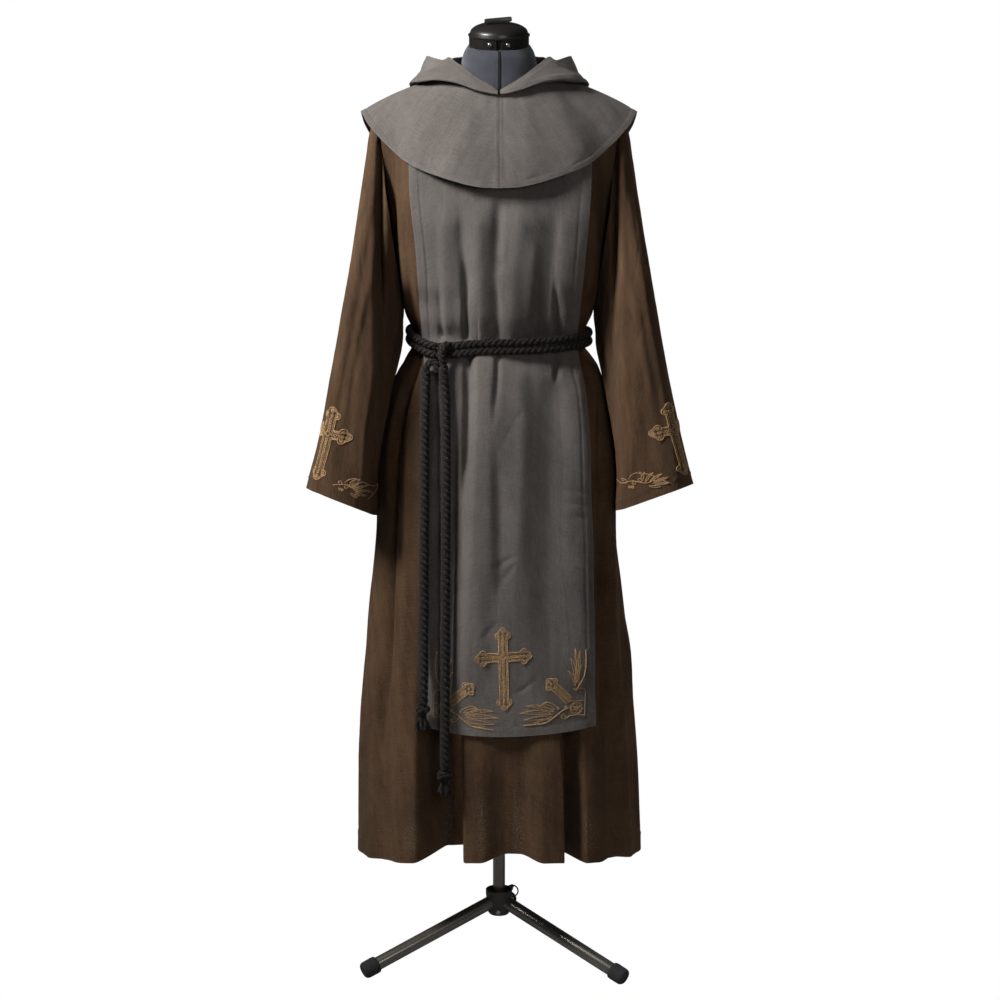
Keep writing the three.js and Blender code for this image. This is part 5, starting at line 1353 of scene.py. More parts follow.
hoodCreases = {  # height, widths, marks (turn, share from the neck seam to the face edge), ends
    1: [(-1.6, (7, 9), [(40, 0.45), (80, 0.62), (118, 0.7)], (0.3, 0.3)),
        (1.8, (8, 8), [(60, 0.75), (90, 0.82), (130, 0.8)], (0.3, 0.3)),
        (-2.2, (8, 9), [(112, 0.9), (140, 0.62), (176, 0.5)], (0.3, 0.1)),
        (2.4, (9, 9), [(125, 0.98), (150, 0.78), (178, 0.66)], (0.3, 0.1)),
        (-1.8, (8, 8), [(100, 0.35), (140, 0.4), (176, 0.38)], (0.3, 0.1))],
    -1: [(-1.8, (7, 9), [(36, 0.5), (76, 0.66), (112, 0.68)], (0.3, 0.3)),
         (1.6, (8, 8), [(66, 0.7), (96, 0.84), (134, 0.84)], (0.3, 0.3)),
         (-2.4, (8, 9), [(118, 0.86), (146, 0.6), (176, 0.54)], (0.3, 0.1)),
         (2.2, (9, 9), [(130, 0.94), (154, 0.74), (178, 0.7)], (0.3, 0.1)),
         (-1.6, (8, 8), [(104, 0.32), (138, 0.42), (176, 0.36)], (0.3, 0.1))],
}


def hoodPoint(turn, s):
    # turn is a list of directions and s a list of shares along the cloth from the neck seam to the face edge
    marks = np.stack([along(hoodStations[:, 0], column, turn) for column in hoodStations.T[1:]], 1)
    marks = marks.reshape(len(turn), 6, 2)
    t = np.linspace(0, 5, 401)
    i = np.minimum(t.astype(int), 4)
    f = (t - i)[None, :, None]
    p0, p1, p2, p3 = (marks[:, np.clip(i + k, 0, 5)] for k in (-1, 0, 1, 2))
    v0, v1 = (p2 - p0) / 2, (p3 - p1) / 2
    path = ((2 * p1 - 2 * p2 + v0 + v1) * f**3 + (-3 * p1 + 3 * p2 - 2 * v0 - v1) * f**2 + v0 * f + p1)
    made = np.stack([readAt(s * run[-1], run, line) for run, line in zip(runAlong(path), path)])
    a = np.radians(turn)[:, None]
    return stack(made[..., 0] * np.sin(a), -made[..., 0] * np.cos(a), made[..., 1])


def makeHood(side):
    word = "right" if side > 0 else "left"
    turn = np.linspace(hoodLook["first"], 180, hoodLook["turns"])
    s = np.linspace(0, 1, hoodLook["steps"])
    grid = hoodPoint(turn, s)
    beyond = grid[-2:-1] * (-1, 1, 1)  # the other half's next row, so that both face alike at their seam
    normals = gridNormals(np.concatenate([grid, beyond]))[:-1]
    u, v = runsOf(grid)
    turns, shares = turn[:, None] + 0 * s[None], s[None] + 0 * turn[:, None]
    arc = turns * hoodLook["perDegree"]
    long = 150.0 + 190 * smooth(90, 180, turns)
    relief = clothNoise(arc, shares * long, 240 + side,
                        [(1.3, 60, 60), (0.8, 30, 34), (0.35, 14, 16), (0.1, 6, 7)])
    for high, widths, marks, ends in hoodCreases[side]:
        line = [(t * hoodLook["perDegree"], q * hoodLook["creaseLong"]) for t, q in marks]
        relief = relief + crease(arc, shares * hoodLook["creaseLong"], high, widths, line, ends)
    relief = relief * smooth(180, 168, turns) * smooth(0, 0.08, shares)
    relief = relief * smooth(0, 14, turns - hoodLook["first"])
    away, band = u[:, -1:] - u, hoodLook["band"]
    fade = smooth(2, 20, turns)
    relief = relief + fade * (np.where(away < band, 0.4, 0) - 0.6 * ridge(away - band, 1.5))
    grid = grid - normals * relief[..., None]
    grid[..., 0] = np.maximum(grid[..., 0], seamGap / 2)
    normals[-1, :, 0] = 0
    grid = grid * (side, 1, 1)
    piece, ground = makeCloth("hood." + word, grid, greyLinen, "hood_" + word,
                              stack(u, v, np.maximum(away, 0)), turned=side > 0)
    return ground


hoodGrounds = {side: makeHood(side) for side in (-1, 1)}
print("hood made")


# dress form
formLook = {"top": 1637, "bottom": 850, "sides": 96, "seamTurns": (0, 38, 90, 142, 180, 218, 270, 322),
            "perDegree": 1.9, "squareness": 2.25}
formLevels = np.array([  # z, half width, depth in front, depth behind
    (1637, 54, 54, 54), (1627, 60, 58, 58), (1613, 64, 60, 61), (1590, 66, 62, 63), (1572, 69, 64, 64),
    (1560, 74, 62, 64), (1550, 85, 58, 61), (1538, 104, 56, 60), (1520, 132, 57, 61), (1497, 155, 65, 68),
    (1460, 163, 82, 79), (1410, 160, 100, 90), (1340, 156, 116, 94), (1270, 143, 108, 88),
    (1190, 130, 92, 82), (1130, 124, 84, 78), (1060, 138, 92, 90), (980, 154, 98, 104),
    (910, 158, 98, 108), (862, 152, 94, 104), (850, 144, 88, 98)])
capTilt = 8


def formPoint(z, angle):
    # a level section of the form, tipped forward towards the cap at the top of its neck
    power = 2 / formLook["squareness"]
    s, c = np.sin(angle), np.cos(angle)
    half, front, behind = (along(formLevels[:, 0], column, z) for column in formLevels.T[1:])
    x = half * np.sign(s) * np.abs(s)**power
    y = -np.where(c > 0, front, behind) * np.sign(c) * np.abs(c)**power
    tip = smooth(1590, formLook["top"], z) * math.tan(math.radians(capTilt))
    return stack(x, y, z + y * tip)


def makeForm():
    # rings close together down the neck, wider apart down the trunk and close again at its foot
    levels = np.concatenate([np.linspace(formLook["top"], 1540, 44), np.linspace(1537, 862, 90),
                             np.linspace(858, formLook["bottom"], 5)])
    turns = circle(formLook["sides"])
    rings = formPoint(levels[:, None] + 0 * turns, turns[None] + 0 * levels[:, None])
    # the princess seams stand a little proud down the trunk
    normals = gridNormals(rings, True)
    if (normals[60, 0] @ np.array((0, -1, 0))) < 0:
        normals = -normals
    degrees = np.degrees(turns)
    seams = sum(ridge((degrees - at + 180) % 360 - 180, 1.6) for at in formLook["seamTurns"])
    seams = 0.5 * seams[None] * smooth(1560, 1500, levels)[:, None]
    rings = rings + normals * (seams - 0.2)[..., None]
    points, faces = ringSolid(rings)
    place = ringPlaces(degrees[None] * formLook["perDegree"], levels[:, None], 50)
    return makePiece("form.body", points, faces, jersey, place, sharp=50)


formPiece = makeForm()
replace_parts(formPiece, "form_body")

stripLook = {"wide": 3.8, "thick": 0.9, "bottom": 1548, "steps": 60, "clear": 0.15, "ridge": 0.15}


def makeStrip():
    # a narrow tape down the neck, whose two edges turn in to the slit along its middle; its near-black
    # colour is partly painted shade of the slit
    look = stripLook
    z = np.linspace(formLook["top"], look["bottom"], look["steps"])
    share = np.linspace(-0.5, 0.5, 7)
    raised = np.array((0.0, 0.75, 0.9, 0.1, 0.9, 0.75, 0.0)) * look["ridge"]
    wave = 0.25 * softNoise(z / 14, z * 0 + 0.3, 300)
    rings = []
    for (x, y, height), shift in zip(formPoint(z, 0 * z), wave):
        front = [(x + s * look["wide"] + shift, y - look["clear"] - look["thick"] - r, height)
                 for s, r in zip(share, raised)]
        rings.append(front + [(p[0], y - look["clear"], height) for p in front[::-1]])
    points, faces = ringSolid(np.array(rings))
    return makePiece("neck.strip", points, faces, blackTapeAndSlitShade, sharp=40)


stripPiece = makeStrip()
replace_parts(stripPiece, "neck_strip")

capLook = {"radius": 51.5, "lip": 53, "band": 17.5, "lipHigh": 3, "dome": 20, "z": 1637.3, "notch": 2.0,
           "notchDeep": 5, "sides": 144}


def makeCap():
    c = capLook
    lipTop, r, high = c["band"] + c["lipHigh"], c["radius"], c["dome"]
    profile = [(0, 0), (r - 0.2, 0), (r, 0.8), (r, c["band"] - 1.2), (r + 0.15, c["band"] - 0.4),
               (c["lip"] - 0.3, c["band"]), (c["lip"], c["band"] + 0.8), (c["lip"], lipTop - 0.9),
               (c["lip"] - 0.8, lipTop), (0.975 * r, lipTop + 0.4), (0.965 * r, lipTop + 0.13 * high)]
    profile += [(0.965 * r * math.cos(t)**0.9, lipTop + high * (0.1 + 0.9 * math.sin(t)))
                for t in np.linspace(0.12, 1.45, 16)]
    profile += [(2.5, lipTop + high), (0, lipTop + high)]

    def notched(rings, angle):
        # a narrow notch down the front of the band
        near = np.abs((angle + pi) % (2 * pi) - pi) * r
        cut = (near < c["notch"] + 0.3)[None] & (rings[..., 2] < c["band"] - 0.2) & (rings[..., 2] > -1)
        rings[..., :2] *= np.where(cut, (r - c["notchDeep"]) / r, 1.0)[..., None]
        return rings

    points, faces = lathe(profile, c["sides"], notched)
    points = turnPoints(points, "x", capTilt) + (0, 0, c["z"])
    return makePiece("neck.cap", points, faces, blackPlastic, sharp=35)


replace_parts(makeCap(), "neck_cap")
tabLook = {"wide": 47, "high": 8.5, "thick": 7, "round": 2.6, "x": -1.5, "y": -21, "z": 1680.8, "lean": -5}


def slab(wide, high, thick, corner, edge, steps=6):
    # a flat bar standing in x and z, with round corners and softened edges
    t = np.linspace(0, pi / 2, steps)
    outline = []
    for cx, cz, turn in ((1, 1, 0), (-1, 1, 1), (-1, -1, 2), (1, -1, 3)):
        a = t + turn * pi / 2
        outline += [(cx, cz, math.cos(q), math.sin(q)) for q in a]
    outline = np.array(outline)
    rings = []
    for y, inset in [(-thick / 2, edge), (-thick / 2 + 0.3 * edge, 0.3 * edge), (-thick / 2 + edge, 0),
                     (thick / 2 - edge, 0), (thick / 2 - 0.3 * edge, 0.3 * edge), (thick / 2, edge)]:
        r = max(corner - inset, 0.05)
        x = outline[:, 0] * (wide / 2 - corner) + outline[:, 2] * r
        z = outline[:, 1] * (high / 2 - corner) + outline[:, 3] * r
        rings.append(stack(x, y, z))
    return ringSolid(np.array(rings))


points, faces = slab(tabLook["wide"], tabLook["high"], tabLook["thick"], tabLook["round"], 0.8)
points = turnPoints(points, "y", tabLook["lean"])
tabPiece = makePiece("pull.tab", points + (tabLook["x"], tabLook["y"], tabLook["z"]), faces, blackPlastic,
                     sharp=40)
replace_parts(tabPiece, "cap_tab")
print("form and cap made")


screwLook = {"radius": 3.4, "high": 2.2, "x": 15.5, "up": 9, "slot": 0.55}


def screwHead(radius, high, slot):
    # a domed head with a cross cut into it, pointing up
    angle = circle(48)
    near = np.minimum(np.abs(np.sin(angle)), np.abs(np.cos(angle)))
    radii = np.array((1.0, 1.0, 0.96, 0.88, 0.7, 0.5, 0.34, 0.2, 0.1)) * radius
    heights = np.array((0.0, 0.45, 0.65, 0.78, 0.9, 0.97, 1.0, 1.0, 1.0)) * high
    rings = []
    for r, h in zip(radii, heights):
        away = r * near
        cut = (away < slot) & (r < 0.62 * radius)
        rings.append(stack(r * np.sin(angle), -r * np.cos(angle), np.where(cut, h - 0.55 * high, h)))
    return turnedSolid(np.array(rings), 0, high * 0.45)


for side, word, spin in ((-1, "left", 20), (1, "right", 62)):
    look = screwLook
    points, faces = screwHead(look["radius"], look["high"], look["slot"])
    points = turnPoints(turnPoints(points, "z", spin), "x", 90)
    y = -math.sqrt(capLook["radius"]**2 - (look["x"] - look["radius"])**2) - seamGap
    points = turnPoints(points + (side * look["x"], y, look["up"]), "x", capTilt) + (0, 0, capLook["z"])
    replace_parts(makePiece("cap.screw." + word, points, faces, steel, sharp=32), "cap_screw_" + word)


# stand
tubeSides = 72
poleLook = {"radius": 11, "bottom": 84, "top": 838}
socketLook = {"radius": 19, "top": 849.6, "high": 36}
hubLook = {"radius": 24, "foot": 17, "top": 125, "bottom": 78, "rim": 2.6, "dish": 9, "clear": 0.45,
           "core": 14, "swell": 0.05, "swellTurn": 26}
legLook = {"radius": 12, "inner": 16, "end": 270, "slope": 19.8, "hubR": 24, "hubZ": 99, "turn": 4}
footLook = {"radius": 15.5, "long": 30, "floor": 5, "round": 3.5, "lip": 1.5}
boltLook = {"radius": 4, "high": 2.4, "z": 88, "turn": 60, "slot": 0.7}
pinLook = {"x": 23.8, "z": 119.5, "from": 13.2, "to": 28, "radius": 2.2, "head": 3.6, "headHigh": 2.4}
ringLook = {"radius": 11, "wire": 1.3, "y": 23.5, "drop": 7.2}

points, faces = lathe(rounded([(0, poleLook["bottom"]), (poleLook["radius"], poleLook["bottom"]),
                               (poleLook["radius"], poleLook["top"]), (0, poleLook["top"])], 0.8),
                      tubeSides)
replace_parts(makePiece("stand.pole", points, faces, bronzeTube, sharp=40), "pole")
bore = poleLook["radius"] + hubLook["clear"]
low = socketLook["top"] - socketLook["high"]
points, faces = lathe(rounded([(0, poleLook["top"] + 0.5), (bore, poleLook["top"] + 0.5), (bore, low),
                               (socketLook["radius"], low), (socketLook["radius"], socketLook["top"]),
                               (0, socketLook["top"])], 0.9), tubeSides)
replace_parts(makePiece("pole.socket", points, faces, darkCasting, sharp=40), "pole_socket")

legTurns = [90 - legLook["turn"] + 120 * i for i in range(3)]


def hubShape(rings, angle):
    # the casting swells round each leg and is waisted between them
    for turn in legTurns:
        off = (np.degrees(angle) - 90 - turn + 180) % 360 - 180
        z = rings[..., 2]
        swell = ridge(off, hubLook["swellTurn"]) * smooth(77, 84, z) * (1 - smooth(104, 112, z))
        outside = np.hypot(rings[..., 0], rings[..., 1]) > hubLook["core"]
        rings[..., :2] *= np.where(outside, 1 + hubLook["swell"] * swell, 1)[..., None]
    return rings


h = hubLook
profile = rounded([(0, h["bottom"]), (h["foot"], h["bottom"]), (h["foot"] + 2.5, h["bottom"] + 4),
                   (h["foot"] + 4.2, h["bottom"] + 16), (h["radius"] - 1.0, h["bottom"] + 30),
                   (h["radius"], h["top"] - 9), (h["radius"], h["top"]), (h["radius"] - h["rim"], h["top"]),
                   (h["radius"] - h["rim"], h["top"] - h["dish"]), (bore, h["top"] - h["dish"]),
                   (bore, poleLook["bottom"] - h["clear"]), (0, poleLook["bottom"] - h["clear"])], 1.3)
points, faces = lathe(profile, 108, hubShape)
hubPiece = makePiece("stand.hub", points, faces, darkCasting, sharp=40)
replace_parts(hubPiece, "hub")

legDrop = math.tan(math.radians(legLook["slope"]))
footEndZ = legLook["hubZ"] - (legLook["end"] - legLook["hubR"]) * legDrop
legLong = (legLook["end"] - legLook["inner"]) / math.cos(math.radians(legLook["slope"]))


def alongLeg(points, turn):
    # stands what was made upright on the end of its leg, leaning in to the hub
    points = turnPoints(points, "y", -(90 - legLook["slope"])) + (legLook["end"], 0, footEndZ)
    return turnPoints(points, "z", turn)


def flatFoot(points):
    # the rubber is cut level where it meets the floor
    points[:, 2] = np.maximum(points[:, 2], 0.0)
    return points


for number, turn in zip("123", legTurns):
    start, r = footLook["floor"] + 0.5, legLook["radius"]
    points, faces = lathe(rounded([(0, start), (r, start), (r, legLong), (0, legLong)], 0.8), tubeSides)
    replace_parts(makePiece("leg." + number, alongLeg(points, turn), faces, bronzeTube,
                          sharp=40), "leg_" + number)
    mouth = legLook["radius"] + hubLook["clear"]
    r, long, e = footLook["radius"], footLook["long"], footLook["round"]
    profile = [(0, 0), (r - e - 0.8, 0), (r - 0.9 * e, 0.15 * e), (r - 0.35 * e, 0.7 * e),
               (r - 0.3, 1.5 * e), (r, 2.4 * e), (r, long - 9), (r + 0.25, long - 8.4),
               (r + 0.25, long - 6.6), (r, long - 6), (r - 0.1, long - 3), (r - 0.6, long - 1.2),
               (r - 1.6, long - 0.2), (mouth + 0.5, long), (mouth, long - 0.6),
               (mouth, footLook["floor"]), (0, footLook["floor"])]
    points, faces = lathe(rounded(profile, 0.5, 2), tubeSides)
    points = flatFoot(alongLeg(points, turn))
    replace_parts(makePiece("foot." + number, points, faces, rubber, sharp=50), "foot_" + number)
    points, faces = screwHead(boltLook["radius"], boltLook["high"], boltLook["slot"])
    points = turnPoints(points, "y", 90) + (hubLook["radius"] + seamGap, 0, boltLook["z"])
    points = turnPoints(points, "z", turn + boltLook["turn"])
    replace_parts(makePiece("hub.bolt." + number, points, faces, steel, sharp=32),
                "hub_bolt_" + number)

long, r, head = pinLook["to"] - pinLook["from"], pinLook["radius"], pinLook["head"]
tipHigh = long + pinLook["headHigh"]
profile = rounded([(0, 0), (r, 0), (r, long), (head, long), (head, tipHigh), (0, tipHigh)], 0.4)
points, faces = lathe(profile, 48)
points = turnPoints(points, "x", -90) + (pinLook["x"], pinLook["from"], pinLook["z"])
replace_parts(makePiece("lock.pin", points, faces, steel, sharp=40), "lock_pin")
rows, sides = tubeSides, 16
a, b = circle(rows)[:, None], circle(sides)[None]
reach = ringLook["radius"] + ringLook["wire"] * np.cos(b)
points = stack(reach * np.cos(a), ringLook["wire"] * np.sin(b) + 0 * a, reach * np.sin(a)).reshape(-1, 3)
i, j = np.arange(rows)[:, None] * sides, np.arange(sides)[None]
nextI, nextJ = (i + sides) % (rows * sides), (j + 1) % sides
faces = np.stack([i + j, i + nextJ, nextI + nextJ, nextI + j], -1).reshape(-1, 4)
points = points + (pinLook["x"], ringLook["y"], pinLook["z"] - ringLook["drop"])
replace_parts(makePiece("pin.ring", points, faces, darkWire), "pin_ring")
print("stand made")


# stitching
stitchLook = {"pitch": 4.3, "length": 3.1, "radius": 0.34, "flat": 0.75, "proud": 0.3, "endDip": -0.15,
              "endSize": 0.6}


def stitchLine(ground, rows, cols):
    # short threads laid end to end along a line on the cloth, whose ends go down into it
    look = stitchLook
    points = ground.lift(rows, cols, 0.0)
    normals = unit(ground.sample(ground.normals, rows, cols))
    run = runAlong(points)
    starts = np.arange(1.0, run[-1] - look["length"], look["pitch"])
    jitter = np.random.default_rng(len(starts)).uniform(-0.25, 0.25, len(starts))
    rings = []
    for share, height, size in ((0.0, look["endDip"], look["endSize"]), (0.3, 1.0, 1.0), (0.7, 1.0, 1.0),
                                (1.0, look["endDip"], look["endSize"])):
        at = starts + jitter + share * look["length"]
        p, n = readAt(at, run, points), unit(readAt(at, run, normals))
        ahead = unit(readAt(at + 0.5, run, points) - p + 1e-6)
        side, up = np.cross(ahead, n) * look["radius"] * size, n * look["radius"] * look["flat"] * size
        p = p + n * look["proud"] * height
        rings.append(np.stack([p + side, p + up, p - side, p - up], 1))
    rings = np.stack(rings, 1)
    count, n, k = rings.shape[:3]
    size = n * k
    ends = [(0, 1, 2, 3), (size - 1, size - 2, size - 3, size - 4)]
    one = np.concatenate([ringQuads(n, k, True), ends])
    faces = (one[None] + size * np.arange(count)[:, None, None]).reshape(-1, 4)
    return rings.reshape(-1, 3), [faces]


def sideLine(ground, edge, inset, first=0.0, last=0.0):
    # the ground with the rows and columns of a line at inset from its first or last column
    u = ground.place[..., 0]
    away = np.abs(u - (u[:, :1] if edge == "first" else u[:, -1:]))
    rows = np.arange(ground.rows)
    cols = []
    for i in rows:
        if edge == "first":
            cols.append(np.interp(inset, away[i], np.arange(ground.cols)))
        else:
            cols.append(ground.cols - 1 - np.interp(inset, away[i][::-1], np.arange(ground.cols)))
    down = np.abs(ground.place[:, ground.cols // 2, 1])
    keep = (down >= down[0] + first) & (down <= down[-1] - last)
    return ground, rows[keep].astype(float), np.array(cols)[keep]


def endLine(ground, inset, first=0.0, last=0.0):
    # the same at inset from the last row
    v = ground.place[..., 1]
    away = np.abs(v - v[-1:])
    cols = np.arange(ground.cols)
    up = np.array([np.interp(inset, away[::-1, j], np.arange(ground.rows)) for j in cols])
    rows = ground.rows - 1 - up
    reach = runAlong(ground.points[-1])
    keep = (reach >= first) & (reach <= reach[-1] - last)
    return ground, rows[keep], cols[keep].astype(float)


def stitching(name, lines, finish):
    points, faces = joinParts([stitchLine(*line) for line in lines])
    makePiece("stitching." + name, points, faces, finish)


band = scapularLook["band"]
for name, ground in (("scapular.front", scapularGround), ("scapular.back", scapularBackGround)):
    lines = [sideLine(ground, edge, band - 2.5, 40, band) for edge in ("first", "last")]
    stitching(name, lines + [endLine(ground, band - 2.5, band, band)], greyThread)
capeLines = [endLine(ground, capeLook["band"] - 1.5) for ground in capeGrounds.values()]
for name, edge in (("front_left", "last"), ("front_right", "first")):
    capeLines.append(sideLine(capeGrounds[name], edge, 4.0, 3, 3))
stitching("cape", capeLines, greyThread)
hoodLines = []
for ground in hoodGrounds.values():
    ground, rows, cols = sideLine(ground, "last", 5.0)
    hoodLines.append((ground, rows[4:], cols[4:]))
stitching("hood", hoodLines, greyThread)
for name, ground in (("tunic.front", tunicFrontGround), ("tunic.back", tunicBackGround)):
    stitching(name, [endLine(ground, tunicLook["hemBand"] - 2, 2, 2)], brownThread)
for side, ground in sleeveGrounds.items():
    stitching("sleeve." + side, [endLine(ground, sleeveLook["cuffBand"] - 2)], brownThread)
print("stitching made")


# embroidery: drawn flat in millimetres, then laid on the cloth
def flowing(*marks):
    return curveThrough([(a, b, 0) for a, b in marks], 1.5)[:, :2]


def straight(*marks, step=2.5):
    marks = np.asarray(marks, float)
    made = [marks[:1]]
    for a, b in zip(marks, marks[1:]):
        count = max(1, int(np.linalg.norm(b - a) / step))
        made.append(a + (b - a) * (np.arange(1, count + 1) / count)[:, None])
    return np.concatenate(made)


def bow(cx, cy, radius, fromTurn=0, toTurn=360):
    count = max(4, int(abs(toTurn - fromTurn) / 57.3 * radius / 1.3) + 1)  # 57.3 degrees to a radian
    t = np.radians(np.linspace(fromTurn, toTurn, count))
    return np.stack([cx + radius * np.cos(t), cy + radius * np.sin(t)], 1)


def scroll(cx, cy, radius, fromTurn, turns, inner=0.15):
    # a spiral in to inner times its radius
    count = max(8, int(abs(turns) * 6.28 * radius / 1.6))
    share = np.linspace(0, 1, count)
    t = math.radians(fromTurn) + share * turns * 2 * pi
    r = radius * (1 - (1 - inner) * share)
    return np.stack([cx + r * np.cos(t), cy + r * np.sin(t)], 1)


def leafThreads(root, tip, bend, wide, ribWidth):
    # both sides of a leaf, and a rib along the middle of a wide one
    root, tip = np.asarray(root, float), np.asarray(tip, float)
    ahead = tip - root
    side = np.array((-ahead[1], ahead[0])) / np.linalg.norm(ahead)
    t = np.linspace(0, 1, max(7, int(np.linalg.norm(ahead) / 2.2)))[:, None]
    middle = root + ahead * t + side * bend * 4 * t * (1 - t)
    swell = wide * np.sin(np.pi * t**0.8)
    threads = [(middle + side * swell, 0.62), ((middle - side * swell)[::-1], 0.62)]
    if wide > ribWidth:
        threads.append((middle[1:-1], 0.5))
    return threads


def turned(points, degrees, at=(0, 0)):
    c, s = math.cos(math.radians(degrees)), math.sin(math.radians(degrees))
    x, y = points[:, 0], points[:, 1]
    return np.stack([at[0] + x * c - y * s, at[1] + x * s + y * c], 1)


def armHalf(long, w, lobe):
    # one side of a budded arm, from the middle of the cross out to its tip
    sideLobe = bow(long - 2.6 * lobe, w + 0.1 * lobe, lobe, 205, 10)
    endLobe = bow(long - 1.05 * lobe, 0, 1.05 * lobe, 62, 12)
    return np.concatenate([straight((w, w), (long - 3.7 * lobe, w)), sideLobe, endLobe, [(long, 0)]])


def filling(first, last, wide):
    # close zigzag threads across an arm, with two waves of thread plaited along its middle
    at = np.arange(first, last, 1.75)
    side = np.where(np.arange(len(at)) % 2 == 0, 1.0, -1.0)
    zigzag = straight(*np.stack([at, wide * side], 1), step=4.0)
    t = np.arange(first, last, 1.2)
    waves = [0.62 * wide * np.sin(t * 2 * pi / 9.0 + phase) for phase in (0, pi)]
    return [(zigzag, 0.6)] + [(np.stack([t, wave], 1), 0.72) for wave in waves]


def wholeArm(half):
    return np.concatenate([half * (1, -1), half[::-1][1:]])


def buddedCross(top, bottom, reach, w, lobe):
    # two outlines, then the filling, lobes and rings of each arm; reach, top and bottom are from the middle
    threads, arms = [], ((0, reach), (90, top), (180, reach), (270, bottom))
    for inset, radius in ((0.0, 1.05), (2.3, 0.7)):
        outline = []
        for turn, long in arms:
            half = armHalf(long - inset * 1.1, w - inset, lobe - inset * 0.6)
            outline.append(turned(wholeArm(half), turn))
        outline = np.concatenate(outline + [outline[0][:1]])
        threads.append((outline, radius))
    for turn, long in arms:
        budded = filling(1.0, long - 3.4 * lobe, w - 3.4)
        budded += [(scroll(long - 2.5 * lobe, s * w, lobe * 0.62, 180 + 20 * s, -1.6 * s, 0.1), 0.75)
                   for s in (1, -1)]
        budded += [(scroll(long - 1.2 * lobe, 0, lobe * 0.66, 180, 1.8, 0.1), 0.75),
                   (scroll(long - 2.6 * lobe, 0, lobe * 0.6, 180, 1.5, 0.1), 0.75),
                   (bow(long - 3.3 * lobe, 0, 1.3), 0.9)]
        threads += [(turned(line, turn), radius) for line, radius in budded]
    threads.append((bow(0, 0, w * 0.55), 0.8))
    return threads


def cornerSpray():
    # worked from a corner: a to the middle of the cloth, b up its side
    threads = [(straight((-2, 40), (-2, -1)), 0.75), (straight((-2, -1), (26, -1)), 0.75),
               (flowing((-2, 40), (2, 45), (8, 44), (9, 39), (5, 37)), 0.65),
               (bow(-1, -2, 1.6), 0.8), (straight((0, 23), (25, 24)), 0.6)]
    for k in range(6):
        a = math.radians(60 * k)
        threads.append((bow(13 + 5.2 * math.cos(a), 11 + 5.2 * math.sin(a), 3.6), 0.6))
    threads += [(bow(13, 11, 2.2), 0.7), (bow(13, 11, 10.4), 0.75)]
    place = {"degrees": 43, "at": (20, 19)}
    for inset, radius in ((0.0, 1.0), (2.3, 0.7)):
        half = armHalf(63 - inset, 7.2 - inset, 4.7 - 0.6 * inset)
        half = half[half[:, 0] > 4 + inset]
        threads.append((turned(wholeArm(half), **place), radius))
    budded = [*filling(6, 46, 3.8), (scroll(58, 0, 2.8, 180, 1.8, 0.1), 0.75),
              (scroll(52, 0, 2.6, 180, 1.5, 0.1), 0.75)]
    budded += [(scroll(51.5, s * 7, 2.8, 180 + 20 * s, -1.6 * s, 0.1), 0.75) for s in (1, -1)]
    threads += [(turned(line, **place), radius) for line, radius in budded]
    # upright leaves
    for root, tip, bend, wide in (((10, 52), (6, 88), -3.5, 2.0), ((12, 56), (10, 112), -1.5, 3.2),
                                  ((14, 56), (19, 116), 2.0, 3.4), ((16, 54), (27, 100), 3.5, 3.0),
                                  ((17, 50), (31, 78), 4.0, 2.4)):
        threads += leafThreads(root, tip, bend, wide, 3)
    threads += [(flowing((14, 43), (7, 55), (1, 70), (-1, 90), (0, 109)), 1.15), (bow(0, 111, 1.5), 0.9),
                (flowing((20, 45), (13, 44), (8, 46), (5, 50)), 0.8), (bow(15, 43, 1.4), 0.9)]
    # lying leaves
    for root, tip, bend, wide in (((50, 10), (80, 16), 3.0, 2.6), ((52, 6), (102, 15), 4.0, 3.4),
                                  ((54, 2), (112, 3), 2.5, 3.6), ((55, -3), (104, -8), 0.5, 3.0),
                                  ((54, -7), (88, -13), -1.0, 2.2)):
        threads += leafThreads(root, tip, bend, wide, 3)
    threads += [(flowing((26, 14), (38, 7), (52, -4), (66, -13), (86, -16), (104, -18)), 1.15),
                (scroll(33, -3, 6.0, 90, -1.1), 0.8), (scroll(30, 14, 4.0, 200, 1.0), 0.75),
                (flowing((24, -1), (32, -7), (40, -3), (43, 4)), 0.8),
                (flowing((44, 13), (56, 20), (64, 23), (74, 19)), 0.8), (bow(45, 12, 1.5), 0.9)]
    return threads


def cuffVine(long):
    # scrolls at the outer end, then slanting leaves towards the inside of the arm
    threads = [(flowing((0, 6), (8, 9), (18, 12), (28, 10), (38, 6), (50, 8), (60, 5)), 0.75),
               (scroll(9, 13, 4.6, 250, 1.1), 0.62), (scroll(20, 9, 4.4, 100, -1.1), 0.62),
               (scroll(30, 13, 4.2, 250, 1.1), 0.62),
               (flowing((16, 15), (22, 22), (30, 25), (34, 23)), 0.75),
               (bow(13, 2.5, 1.7), 0.9), (bow(17, 2, 1.7), 0.9), (bow(35, 24, 1.5), 0.8)]
    for root, tip, bend, wide in (((32, 10), (40, 25), 1.5, 1.6), ((36, 8), (52, 22), 1.5, 1.8),
                                  ((42, 6), (64, 17), 1.5, 1.9), ((46, 3), (72, 9), 1.5, 1.9),
                                  ((48, 0), (70, 0), 1.0, 1.8), ((40, 1), (56, -4), -1.0, 1.5)):
        scale = long / 75
        root, tip = (root[0] * scale, root[1]), (tip[0] * scale, tip[1])
        threads += leafThreads(root, tip, bend, wide, 1.7)
    threads.append((flowing((38, 23), (50, 18), (62, 8), (long, -4)), 0.8))
    return threads


embroideryLook = {"lift": 0.55, "wobble": 0.12, "uneven": 0.1, "endSize": 0.6, "sides": 5}


